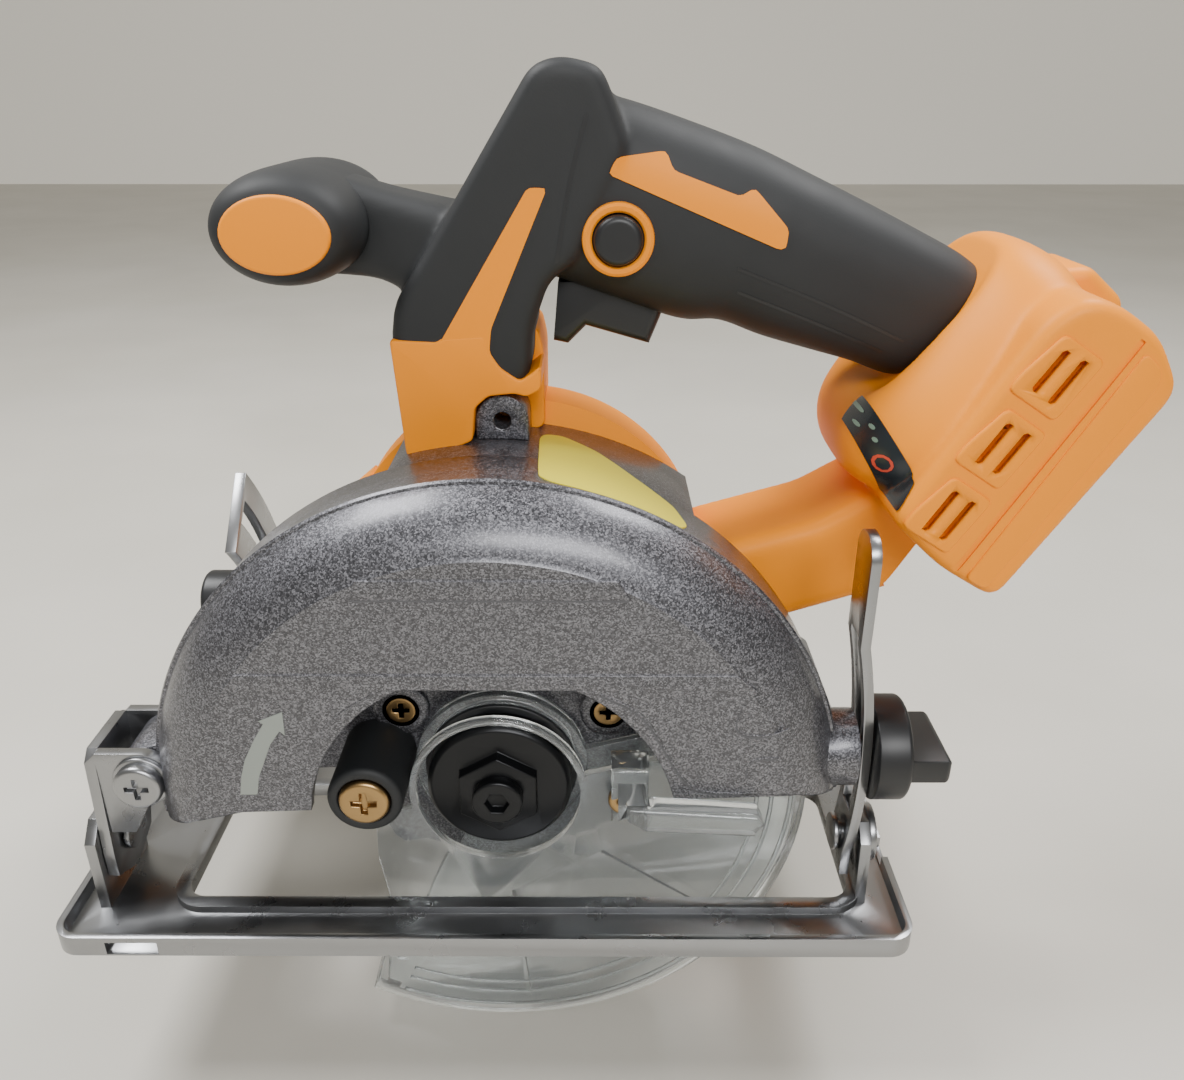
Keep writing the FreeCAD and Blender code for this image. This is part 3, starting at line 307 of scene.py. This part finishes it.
def loft(name, stations, material, power=2.6, sides=72, between=12):
    """Sections each given by a top point, a bottom point (x, z), a half width and a middle y.
    A section is |a|^p + |b|^p = 1 with a across and b up; stations are joined by Catmull-Rom curves."""
    s = np.asarray(stations, float)
    padded = np.vstack([2 * s[0] - s[1], s, 2 * s[-1] - s[-2]])
    t = np.linspace(0, 1, between, endpoint=False)[:, None]
    p0, p1, p2, p3 = (padded[k:len(s) - 1 + k, None] for k in range(4))
    path = 0.5 * (2 * p1 + (p2 - p0) * t + (2 * p0 - 5 * p1 + 4 * p2 - p3) * t ** 2
                  + (3 * p1 - p0 - 3 * p2 + p3) * t ** 3)
    path = np.vstack([path.reshape(-1, s.shape[1]), s[-1:]])
    turn = np.linspace(0, 2 * math.pi, sides, endpoint=False)
    across = np.sign(np.cos(turn)) * np.abs(np.cos(turn)) ** (2 / power)
    up = np.sign(np.sin(turn)) * np.abs(np.sin(turn)) ** (2 / power)
    top, bottom, half, middle = path[:, 0:2], path[:, 2:4], path[:, 4], path[:, 5]
    centre, rise = (top + bottom) / 2, (top - bottom) / 2
    x = centre[:, :1] + rise[:, :1] * up
    z = centre[:, 1:] + rise[:, 1:] * up
    y = middle[:, None] + half[:, None] * across
    return recalc(make(name, *skin(np.stack([x, y, z], -1)), material))


def baked(obj):
    """The same object with its modifiers worked into its mesh."""
    bpy.context.view_layer.update()
    graph = bpy.context.evaluated_depsgraph_get()
    mesh = bpy.data.meshes.new_from_object(obj.evaluated_get(graph))
    old = obj.data
    obj.modifiers.clear()
    obj.data = mesh
    bpy.data.meshes.remove(old)
    return obj


def modify(obj, kind, **settings):
    """Adds a modifier with its settings."""
    made = obj.modifiers.new(kind.lower(), kind)
    for key, value in settings.items():
        setattr(made, key, value)
    return obj


def discard(*objs):
    """Removes objects and their meshes."""
    for obj in objs:
        mesh = obj.data
        bpy.data.objects.remove(obj)
        bpy.data.meshes.remove(mesh)


def merged(name, *objs):
    """One object holding all these meshes."""
    work = bmesh.new()
    for obj in objs:
        work.from_mesh(obj.data)
    mesh = bpy.data.meshes.new(name)
    work.to_mesh(mesh)
    work.free()
    mesh.materials.append(objs[0].data.materials[0])
    joined = bpy.data.objects.new(name, mesh)
    bpy.context.scene.collection.objects.link(joined)
    discard(*objs)
    return joined


def moulded(name, voxel, soften, *objs):
    """Overlapping bodies run together into one skin with soft inner corners."""
    body = merged(name, *objs)
    modify(body, "REMESH", mode="VOXEL", voxel_size=voxel * MM)
    modify(body, "SMOOTH", factor=0.5, iterations=soften)
    body = baked(body)
    body.data.shade_smooth()
    return body


def carve(obj, *cutters, operation="DIFFERENCE"):
    """Boolean with each cutter, which is then thrown away."""
    for cutter in cutters:
        modify(obj, "BOOLEAN", operation=operation, object=cutter, solver="EXACT")
    baked(obj)
    discard(*cutters)
    return obj


def inlay(name, body, outline, near, far, proud, material):
    """A flush insert: the prism of an outline kept where it lies inside the body grown by a little."""
    grown = merged(name + "_skin", body_copy(body))
    baked(modify(grown, "DISPLACE", strength=proud * MM, mid_level=0.0))
    prism = slab(name, outline, near, far, 0.0, material, spacing=1.0, steps=2)
    return sharpen(carve(prism, grown, operation="INTERSECT"))


def body_copy(obj):
    """A second object with its own copy of the mesh."""
    twin = bpy.data.objects.new(obj.name + "_copy", obj.data.copy())
    bpy.context.scene.collection.objects.link(twin)
    return twin


def strip(a, b, width):
    """A rectangle along the line from a to b."""
    a, b = np.array(a), np.array(b)
    side = (b - a)[::-1] * (-1, 1) / np.linalg.norm(b - a) * width / 2
    return [a + side, b + side, b - side, a - side]


def oval(x, z, across, up, count):
    """Outline (x + across cos t, z + up sin t)."""
    turn = np.linspace(0, 2 * math.pi, count, endpoint=False)
    return np.column_stack([x + across * np.cos(turn), z + up * np.sin(turn)])


def stand(obj, nodes, body="head"):
    """Rides a body and stands for CAD nodes."""
    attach(obj, body)
    if nodes:
        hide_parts(*nodes)
    return obj


def ribbon(points, width):
    """Closed outline of a line of even width. Its bends are cut twice at a quarter and three quarters of
    each stretch, then each point P gives the two sides P + n w/2 and P - n w/2."""
    path = np.array(points, float)
    for _ in range(2):
        start, end = path[:-1], path[1:]
        inner = np.column_stack([start * 0.75 + end * 0.25, start * 0.25 + end * 0.75])
        path = np.vstack([path[:1], inner.reshape(-1, 2), path[-1:]])
    along = np.gradient(path, axis=0)
    side = np.column_stack([-along[:, 1], along[:, 0]]) / np.linalg.norm(along, axis=1)[:, None]
    return np.vstack([path + side * width / 2, (path - side * width / 2)[::-1]])


# ---------------------------------------------------------------- black overmould
HANDLE_Y = 35.0
NEAR_SIDE = ("near", -5.0, HANDLE_Y - 6.0)
FAR_SIDE = ("far", HANDLE_Y + 6.0, 75.0)
COLUMN_HALF = 17.0
COLUMN = [(-21.2, 98.0), (-21.9, 101.8), (-20.6, 109.5), (-13.0, 120.5), (10.0, 156.0), (15.8, 157.6),
          (23.7, 155.8), (26.0, 151.0), (30.0, 140.0), (19.0, 118.0), (12.9, 114.1), (9.2, 103.8),
          (8.9, 96.0), (7.0, 91.0), (-4.0, 92.0)]
# Stations along the grip and the neck: a top point, a bottom point, a half width.
GRIP = [((20.0, 151.5), (14.0, 113.0), 16.0), ((30.0, 149.3), (30.0, 107.5), 16.5),
        ((43.0, 145.2), (42.0, 103.8), 16.8), ((57.0, 140.2), (50.5, 103.6), 17.0),
        ((70.0, 134.4), (60.0, 100.2), 17.0), ((83.4, 128.2), (70.5, 97.2), 16.6),
        ((95.0, 122.6), (81.0, 94.3), 16.0), ((103.0, 118.6), (89.0, 91.4), 15.4),
        ((107.6, 115.6), (95.0, 91.2), 14.6)]
NECK = [((-44.0, 136.0), (-42.0, 114.0), 9.0), ((-34.0, 135.0), (-32.0, 113.6), 9.0),
        ((-22.0, 131.6), (-24.0, 112.6), 10.5), ((-8.0, 128.5), (-16.0, 108.5), 12.5)]
grip = loft("grip", [(*top, *low, half, HANDLE_Y) for top, low, half in GRIP], RUBBER, 2.7)
column = slab("column", rounded(COLUMN, 3.0), HANDLE_Y - COLUMN_HALF, HANDLE_Y + COLUMN_HALF, 3.0, RUBBER)
neck = loft("neck", [(*top, *low, half, HANDLE_Y) for top, low, half in NECK], RUBBER, 5.0)
handle = moulded("grip_overmould", 0.8, 5, grip, column, neck)
stand(handle, ["grip_cover_near", "grip_cover_far"])

LINE_WIDTH = 0.7
LINE_PROUD = 0.12
INLAY_PROUD = 0.35
GRIP_LINES = [[(52.6, 117.0), (72.0, 109.5), (90.1, 101.2)], [(52.9, 112.0), (70.0, 105.5), (86.1, 98.6)],
              [(14.5, 117.9), (17.6, 135.2), (21.0, 147.0)]]
for number, line in enumerate(GRIP_LINES):
    for side, low, high in (NEAR_SIDE, FAR_SIDE):
        outline = ribbon(line, LINE_WIDTH)
        stand(inlay(f"grip_line_{side}_{number}", handle, outline, low, high, LINE_PROUD, BLACK), [])
SLASH = [(-11.0, 101.2), (8.9, 133.2), (12.9, 133.1), (0.3, 104.4), (-0.3, 99.3), (2.1, 95.6), (6.2, 92.6),
         (-2.0, 92.0), (-12.0, 96.0)]
DASH = [(25.3, 135.7), (27.0, 138.9), (37.1, 140.1), (38.6, 136.4), (52.5, 131.4), (55.4, 133.0),
        (62.8, 125.0), (62.4, 121.2), (61.0, 121.0)]
for side, low, high in (NEAR_SIDE, FAR_SIDE):
    for part_name, outline in (("grip_inlay", DASH), ("column_inlay", SLASH)):
        inset = inlay(f"{part_name}_{side}", handle, rounded(outline, 1.0), low, high, INLAY_PROUD, ORANGE)
        stand(inset, [])

# ---------------------------------------------------------------- orange foot, holder and arm
FOOT_HALF = 17.4
FOOT_NEAR = [(-21.9, 102.0), (-11.6, 101.5), (-10.6, 102.3), (-1.2, 103.0), (-0.4, 99.0), (2.1, 95.8),
             (6.2, 92.8), (8.6, 94.4), (11.0, 96.4), (10.8, 91.0), (7.6, 89.2), (5.0, 90.0), (-1.0, 89.4),
             (-4.1, 86.6), (-4.9, 79.0), (-19.0, 73.0), (-20.2, 76.0)]
FOOT = [(-21.6, 102.0), (9.5, 102.0), (10.9, 96.0), (10.8, 78.0), (-20.0, 72.0)]
near_foot = slab("foot_near", rounded(FOOT_NEAR, 1.0), HANDLE_Y - FOOT_HALF, HANDLE_Y - 4.0, 0.6, ORANGE,
                 spacing=0.7)
back_foot = slab("foot_back", rounded(FOOT, 2.0), HANDLE_Y - 4.2, HANDLE_Y + FOOT_HALF, 0.6, ORANGE,
                 spacing=0.7)

HALF = 38.0
PLATEAU = [(111.0, 111.2), (118.0, 115.5), (125.3, 113.2), (134.1, 107.3), (140.2, 96.5), (110.8, 48.8),
           (97.8, 56.6), (85.4, 68.1)]
SADDLE = [((108.0, 118.0), (90.0, 90.0), 16.0), ((111.0, 121.5), (82.0, 86.0), 19.0),
          ((117.0, 121.0), (78.5, 79.0), 26.0), ((123.0, 117.5), (80.5, 70.5), 33.0),
          ((127.0, 112.0), (88.0, 66.0), 35.5)]
HUMP = [(124.0, 113.0), (133.0, 113.5), (137.6, 114.0), (147.2, 106.0), (146.6, 100.0), (130.0, 104.0)]
ARM = [(28.0, 24.0), (28.0, 44.0), (52.0, 51.3), (75.0, 58.0), (92.0, 68.0), (112.0, 54.0), (105.8, 44.0),
       (68.7, 31.8)]
block = slab("holder_block", rounded(PLATEAU, 4.0), HANDLE_Y - HALF, HANDLE_Y + HALF, 3.0, ORANGE)
saddle = loft("holder_saddle", [(*top, *low, half, HANDLE_Y) for top, low, half in SADDLE], ORANGE, 3.2)
hump = slab("holder_hump", rounded(HUMP, 3.0), HANDLE_Y + 4.0, HANDLE_Y + 28.0, 3.0, ORANGE)
arm = slab("holder_arm", rounded(ARM, 3.0), HANDLE_Y - 16.0, HANDLE_Y + 16.0, 4.0, ORANGE)
holder = moulded("battery_holder", 0.9, 4, block, saddle, arm)

MOUTH_TOP, MOUTH_FOOT = np.array([139.8, 97.5]), np.array([111.9, 49.2])
MOUTH_HALF = 32.0
down = (MOUTH_FOOT - MOUTH_TOP) / np.linalg.norm(MOUTH_FOOT - MOUTH_TOP)
inward = np.array([down[1], -down[0]])


def mouth(share, deep):
    """A point a share of the way down the holder's rear face, that deep behind it."""
    return MOUTH_TOP + (MOUTH_FOOT - MOUTH_TOP) * share + inward * deep


room = slab("room", [mouth(0.08, -6), mouth(1.3, -6), mouth(1.3, 13), mouth(0.08, 13)],
            HANDLE_Y - MOUTH_HALF, HANDLE_Y + MOUTH_HALF, 0.0, ORANGE, steps=2)

VENT_WIDTH = 1.7
VENT_DEPTH = 6.0
STEP_LINE = strip((129.6, 107.0), (99.3, 54.8), 1.5)
STEP_DEPTH = 0.6
VENTS = [((115.1, 105.0), (109.8, 96.8)), ((119.0, 103.0), (113.6, 94.3)), ((106.5, 90.1), (101.2, 81.6)),
         ((110.5, 88.0), (105.1, 79.4)), ((97.9, 75.4), (92.4, 66.5)), ((101.7, 73.1), (96.3, 64.4))]
grooves = [(strip(a, b, VENT_WIDTH), VENT_DEPTH) for a, b in VENTS] + [(STEP_LINE, STEP_DEPTH)]
cuts = [slab("groove", groove, face - deep, face + deep, 0.0, ORANGE, steps=2)
        for groove, deep in grooves for face in (HANDLE_Y - HALF, HANDLE_Y + HALF)]
carve(holder, room, *cuts)
sharpen(holder, 50)

# Raised frames round each pair of vents, in steps along and across the vents from the upper one's top.
DOWN_VENT = np.array([-0.54, -0.842])
OVER_VENT = np.array([0.842, -0.54])
FRAME = [(-2.3, -2.6), (-2.3, 8.0), (12.2, 8.0), (12.2, -4.4), (8.0, -4.4)]
OUTER_PLATE = [(130.6, 104.6), (134.3, 101.4), (134.8, 98.2), (107.7, 52.3), (102.9, 55.0)]
PLATE_PROUD = 0.5
PLATE_SUNK = 1.0
for side, low, high in (("near", HANDLE_Y - HALF - PLATE_PROUD, HANDLE_Y - HALF + PLATE_SUNK),
                        ("far", HANDLE_Y + HALF - PLATE_SUNK, HANDLE_Y + HALF + PLATE_PROUD)):
    stand(slab(f"holder_plate_{side}", rounded(OUTER_PLATE, 1.5), low, high, 0.45, ORANGE, spacing=0.8), [])
    for number in range(3):
        pair = VENTS[2 * number:2 * number + 2]
        outline = [np.array(pair[0][0]) + DOWN_VENT * u + OVER_VENT * w for u, w in FRAME]
        plate = slab(f"vent_frame_{side}_{number}", rounded(outline, 1.5), low - 0.15, high + 0.15, 0.6,
                     ORANGE, spacing=0.7)
        holes = [slab("hole", strip(a, b, VENT_WIDTH), low - 3.0, high + 3.0, 0.0, ORANGE, steps=2)
                 for a, b in pair]
        stand(carve(plate, *holes), [])

# Control panel on the near side, with its round key and four small lamps.
PANEL_NEAR, PANEL_FAR = -8.0, 24.0
SCREEN = [(82.4, 89.6), (90.4, 77.2), (86.6, 69.4), (78.9, 83.2)]
KEY_X, KEY_Z = 85.0, 77.6
LAMP_SPOTS = [(81.9, 86.4), (83.2, 84.3), (81.0, 83.6), (83.6, 82.0)]


def spot(name, x, z, radius, proud, material):
    """A round spot on the holder's skin."""
    return inlay(name, holder, oval(x, z, radius, radius, 24), PANEL_NEAR, PANEL_FAR, proud, material)


screen = inlay("control_panel_skin", holder, rounded(SCREEN, 0.8), PANEL_NEAR, PANEL_FAR, 0.3, PANEL)
stand(screen, ["control_panel"])
stand(spot("mode_ring", KEY_X, KEY_Z, 1.9, 0.42, RED), [])
stand(spot("mode_key_cap", KEY_X, KEY_Z, 1.35, 0.5, PANEL), ["mode_button"], "mode_key")
for number, (x, z) in enumerate(LAMP_SPOTS):
    stand(spot(f"lamp_{number}", x, z, 0.5, 0.4, LAMP), [])
foot = merged("foot", near_foot, back_foot)
stand(foot, ["handle_shell_near"])
stand(holder, ["handle_shell_far"])
stand(hump, [])

# ---------------------------------------------------------------- front grip
KNOB_X, KNOB_Z = -41.3, 125.2
KNOB_ACROSS, KNOB_UP, KNOB_HALF = 15.9, 11.9, 26.0


def front_knob():
    """An oval barrel across the saw. At depth d, from -1 to 1, its section is an oval times
    (1 - |d|^5)^(1/5), or times end_share where that is more; d = sin s bunches the rows at the ends."""
    end_share = 0.55
    turn = np.linspace(0, 2 * math.pi, 72, endpoint=False)
    depth = np.sin(np.linspace(-math.pi / 2, math.pi / 2, 41))[:, None]
    swell = np.maximum(np.maximum(1 - np.abs(depth) ** 5, 0) ** (1 / 5), end_share)
    x = KNOB_X + KNOB_ACROSS * swell * np.cos(turn)
    z = KNOB_Z + KNOB_UP * swell * np.sin(turn)
    y = HANDLE_Y + KNOB_HALF * depth * np.ones(turn.size)
    return recalc(make("front_grip_skin", *skin(np.stack([x, y, z], -1)), RUBBER))


stand(front_knob(), ["front_grip"])
badge = oval(-41.2, 124.9, 11.2, 7.8, 72)
BADGE_THICK = 3.0
for side, y, nodes in (("near", HANDLE_Y - 26.3, ["front_grip_inlays"]), ("far", HANDLE_Y + 23.3, [])):
    stand(slab(f"front_badge_{side}", badge, y, y + BADGE_THICK, 0.8, ORANGE), nodes)

# ---------------------------------------------------------------- lock-off button
# The ring's section as (radius, distance out of the grip).
RING = [(5.5, -3.0), (5.5, 0.9), (5.9, 1.3), (6.8, 1.4), (7.4, 1.0), (7.6, 0.2), (7.6, -3.0), (5.5, -3.0)]
LOCK_X, LOCK_Z, LOCK_HALF = 27.5, 122.9, 16.4
for side, sign, nodes in (("near", -1, ["lock_button_rings"]), ("far", 1, [])):
    centre = (LOCK_X, HANDLE_Y + sign * LOCK_HALF, LOCK_Z)
    stand(lathe(f"lock_ring_{side}", [(r, out * sign) for r, out in RING], centre, "y", ORANGE), nodes)

# ---------------------------------------------------------------- upper guard's painted skin
GUARD_R, FACE_R, FACE_Y, RIM_Y = 78.5, 67.0, -18.5, -8.0
ARCH_R, ARCH_TOP = 41.0, 36.5
PAINT = 0.2
PLATE = 0.3
FACE = FACE_Y - PAINT - PLATE
# The rim's lip as (radius, y), from the shoulder to the back of the casting.
LIP = np.array([(79.3, -7.9), (79.7, -7.3), (79.6, -6.6), (79.0, -6.2), (78.8, -5.4), (78.75, 0.0),
                (78.75, 9.0)])


def through(a, b, c, count):
    """Points along the circle through a, b and c; its centre is where their bisectors meet."""
    (ax, ay), (bx, by), (cx, cy) = a, b, c
    aa, bb, cc = ax ** 2 + ay ** 2, bx ** 2 + by ** 2, cx ** 2 + cy ** 2
    d = 2 * (ax * (by - cy) + bx * (cy - ay) + cx * (ay - by))
    ux = (aa * (by - cy) + bb * (cy - ay) + cc * (ay - by)) / d
    uy = (aa * (cx - bx) + bb * (ax - cx) + cc * (bx - ax)) / d
    t = np.unwrap([math.atan2(y - uy, x - ux) for x, y in (a, b, c)])
    at = np.linspace(t[0], t[2], count)
    r = math.hypot(ax - ux, ay - uy)
    return np.column_stack([ux + r * np.cos(at), uy + r * np.sin(at)])


def guard_skin():
    """The guard's near face, its shoulder and its rim, with u round the arch from the rear foot to the front
    foot and v outwards. On the face, v runs from the arch's edge, min(ARCH_R, ARCH_TOP / sin angle), to the
    face's edge. Past it, radius and y follow the shoulder's circle and then the lip. The angle goes evenly
    from asin(z / r) at the rear foot to pi - asin(z / r) at the front foot. Each foot's height z falls from
    the face to the rim, and the face's radius needs the angle, so both are worked out four times over."""
    rear_foot, rear_fall = 9.2, 6.6
    front_foot, front_slope, front_fall = 1.4, 0.246, 5.6
    shoulder = (FACE_R + 0.6 * (GUARD_R - FACE_R) + 0.25, FACE_Y + 0.4 * (RIM_Y - FACE_Y) - 0.25)
    band = through((FACE_R, FACE_Y - PAINT), shoulder, (GUARD_R + PAINT, RIM_Y), 22)
    edge = np.vstack([band, LIP])
    u = np.linspace(0, 1, 420)
    v = np.linspace(0, 1, 70)[:, None]
    angle = u * math.pi * np.ones((len(v) + len(edge), 1))
    fall = np.concatenate([np.zeros(len(v)), np.linspace(0, 1, len(band)), np.ones(len(LIP))])[:, None]
    for _ in range(4):
        arch = np.minimum(ARCH_R, ARCH_TOP / np.maximum(np.sin(angle[:len(v)]), 0.01))
        face_r = arch + v * (FACE_R - 0.5 - arch)
        r = np.vstack([face_r, edge[:, :1] * np.ones(len(u))])
        z_rear = rear_foot - rear_fall * fall
        z_front = front_foot + front_slope * (67.4 - np.minimum(r, 70.0)) - front_fall * fall
        start, end = np.arcsin(z_rear / r), math.pi - np.arcsin(z_front / r)
        angle = start + u * (end - start)
    y = np.vstack([np.full(face_r.shape, FACE), edge[:, 1:] * np.ones(len(u))])
    rows = np.stack([r * np.cos(angle), y, r * np.sin(angle)], -1)
    shell = make("guard_painted_skin", *skin(rows, closed=False, caps=False), SILVER)
    modify(shell, "SOLIDIFY", thickness=0.5 * MM, offset=1.0)
    return sharpen(shell, 18)


stand(guard_skin(), [])
BARS = [[(-26.7, 58.2), (30.0, 58.2), (27.4, 62.4), (-25.5, 62.4)],
        [(-56.0, 36.6), (57.0, 36.6), (52.6, 40.3), (-52.6, 40.3)]]
for number, bar in enumerate(BARS):
    stand(slab(f"guard_rib_{number}", bar, FACE - 0.25, FACE + 0.3, 0.2, SILVER, spacing=0.8), [])

# Shallow lines of the casting: a raised bead, and a strip of painted shade a little below and in front,
# where the line's lower side is in shade.
LINES = [[(24.0, 35.6), (33.1, 31.0), (37.9, 21.8), (41.9, 13.8), (45.9, 9.9), (56.0, 9.6)],
         [(-43.9, 8.0), (-41.1, 14.0), (-37.7, 24.1), (-31.4, 31.0), (-24.0, 35.6)],
         [(54.5, 33.0), (53.0, 27.5), (55.0, 25.1), (61.0, 25.0), (64.5, 27.0)],
         [(56.3, 14.0), (56.5, 19.0), (62.9, 19.3)],
         [(-26.7, 58.2), (30.0, 58.2)], [(-22.0, 62.4), (22.5, 62.4)], [(-52.6, 40.3), (52.6, 40.3)]]
SHADE = (-0.35, -0.45)
for number, line in enumerate(LINES):
    bead = ribbon(line, 0.5)
    stand(slab(f"guard_line_{number}", bead, FACE - 0.12, FACE + 0.3, 0.12, SILVER, spacing=0.5), [])
    # Painted shade: a dark grey ribbon put where the line's lower side falls into shade.
    shade_strip = ribbon(np.array(line) + SHADE, 0.4)
    stand(slab(f"guard_seam_{number}", shade_strip, FACE - 0.05, FACE + 0.2, 0.0, PAINTED_LINE_SHADE, spacing=0.5), [])

ARROW = [(-55.8, 9.2), (-54.9, 14.0), (-53.5, 18.5), (-50.9, 23.6), (-48.2, 28.0), (-49.2, 28.7),
         (-43.7, 31.1), (-43.9, 25.0), (-44.9, 26.2), (-47.4, 22.6), (-48.9, 19.0), (-51.0, 14.0),
         (-52.0, 9.2)]
stand(slab("blade_turn_arrow", ARROW, FACE - 0.15, FACE + 0.2, 0.05, PRINT, spacing=0.6), [])

# The sticker lies round the drum: its corners are (angle in degrees, y) there.
LABEL_R = 79.0
LABEL = [(82.7, 22.0), (82.0, 25.0), (79.0, 25.6), (73.1, 20.7), (66.3, 11.9), (59.6, 5.3), (57.4, -1.5),
         (59.0, -5.0), (66.0, -5.2), (73.1, -5.2), (79.8, -4.2), (82.0, -2.0), (82.3, 4.4)]
flat_label = [(LABEL_R * math.cos(math.radians(t)), y) for t, y in LABEL]
drum = lathe("drum", [(75.0, -6.0), (LABEL_R, -6.0), (LABEL_R, 30.0), (75.0, 30.0), (75.0, -6.0)],
             (0, 0, 0), "y", STICKER, 360)
label = slab("yellow_sticker", rounded(flat_label, 1.5), 30.0, 90.0, 0.0, STICKER, plane="xy", spacing=0.8,
             steps=2)
stand(sharpen(carve(label, drum, operation="INTERSECT")), [])

EAR = [(4.5, 4.9), (6.2, 4.9), (6.8, 5.3), (6.9, 6.6), (4.5, 6.6), (4.5, 4.9)]
for number, (x, z) in enumerate(((-24.0, 15.0), (26.0, 14.5))):
    stand(lathe(f"screw_ear_{number}", EAR, (x, 0, z), "y", SILVER), [])


# ---------------------------------------------------------------- clear guard's moulded ridges
def clear_ridge(name, radius):
    """A half-round bead w wide along an arc: radius + w cos s and y - w sin s, turned from 247 to 372."""
    width, near_y = 0.55, -7.4
    turn = np.radians(np.linspace(247, 372, 160))[:, None]
    bead = np.linspace(0, math.pi, 7)
    r = radius + width * np.cos(bead)
    y = (near_y - width * np.sin(bead)) * np.ones(turn.shape)
    rows = np.stack([r * np.cos(turn), y, r * np.sin(turn)], -1)
    return recalc(make(name, *skin(rows), CLEAR))


for number, radius in enumerate((61.0, 64.5, 69.0)):
    stand(clear_ridge(f"clear_ridge_{number}", radius), [], "swing_guard")

# ---------------------------------------------------------------- pieces shown as the frame has them
REPLACED = {"grip_cover_near", "grip_cover_far", "handle_shell_near", "handle_shell_far", "front_grip",
            "front_grip_inlays", "lock_button_rings", "control_panel", "mode_button"}
EDGE = 0.35
for name, node in NODES.items():
    node.data.materials.clear()
    node.data.materials.append(FINISHES[SLOTS[name]])
    if name in REPLACED:
        continue
    modify(node, "WELD", merge_threshold=1e-6)
    modify(node, "DECIMATE", decimate_type="DISSOLVE", angle_limit=math.radians(1.0))
    modify(node, "BEVEL", width=EDGE * MM, segments=2, limit_method="ANGLE", angle_limit=math.radians(35))
    node.data.shade_smooth()

# ---------------------------------------------------------------- stage
ground = min(corner[2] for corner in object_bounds()) / MM
FLOOR_HALF = 2500
WALL_Y, WALL_HALF, WALL_TOP = 2330, 4000, 3000
floor_z, wall_z = ground - 0.2, ground - 1
floor = make("floor", [(-FLOOR_HALF, -FLOOR_HALF, floor_z), (FLOOR_HALF, -FLOOR_HALF, floor_z),
                       (FLOOR_HALF, FLOOR_HALF, floor_z), (-FLOOR_HALF, FLOOR_HALF, floor_z)],
             [(0, 1, 2, 3)], pale_floor(), False)
wall_paint = plain("pale_wall", "#cbc7bd", 0.6,
                   **{"Emission Color": linear("#cbc7bd"), "Emission Strength": 0.62})
wall = make("wall", [(-WALL_HALF, WALL_Y, wall_z), (WALL_HALF, WALL_Y, wall_z),
                     (WALL_HALF, WALL_Y, WALL_TOP), (-WALL_HALF, WALL_Y, WALL_TOP)],
            [(0, 1, 2, 3)], wall_paint, False)
floor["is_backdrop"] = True
wall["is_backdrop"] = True


def area_light(name, place, target, size, power):
    """A soft box at a place, facing a target."""
    data = bpy.data.lights.new(name, "AREA")
    data.shape = "RECTANGLE"
    data.size, data.size_y = size[0] * MM, size[1] * MM
    data.energy = power
    lamp = bpy.data.objects.new(name, data)
    bpy.context.scene.collection.objects.link(lamp)
    lamp.location = Vector(place) * MM
    aim = (Vector(target) - Vector(place)).normalized()
    lamp.rotation_euler = aim.to_track_quat("-Z", "Y").to_euler()
    lamp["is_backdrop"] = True


area_light("ceiling_left", (-500, 100, 900), (0, 30, 0), (500, 350), 12.5)
area_light("ceiling_right", (500, 300, 900), (0, 30, 0), (350, 350), 9.0)
area_light("front_fill", (200, -900, 700), (0, 0, 20), (700, 300), 11.0)
world = bpy.data.worlds.new("hall")
world.use_nodes = True
sky = world.node_tree.nodes["Background"]
sky.inputs["Color"].default_value = linear("#d9d6cf")
sky.inputs["Strength"].default_value = 0.42
bpy.context.scene.world = world

camera_data = bpy.data.cameras.new("camera")
camera_data.sensor_width = 36.0
camera_data.lens = 30.29
camera = bpy.data.objects.new("camera", camera_data)
bpy.context.scene.collection.objects.link(camera)
camera.location = Vector((22.68, -195.81, 152.95)) * MM
camera.rotation_euler = (math.radians(65.24), 0.0, math.radians(0.17))
bpy.context.scene.camera = camera
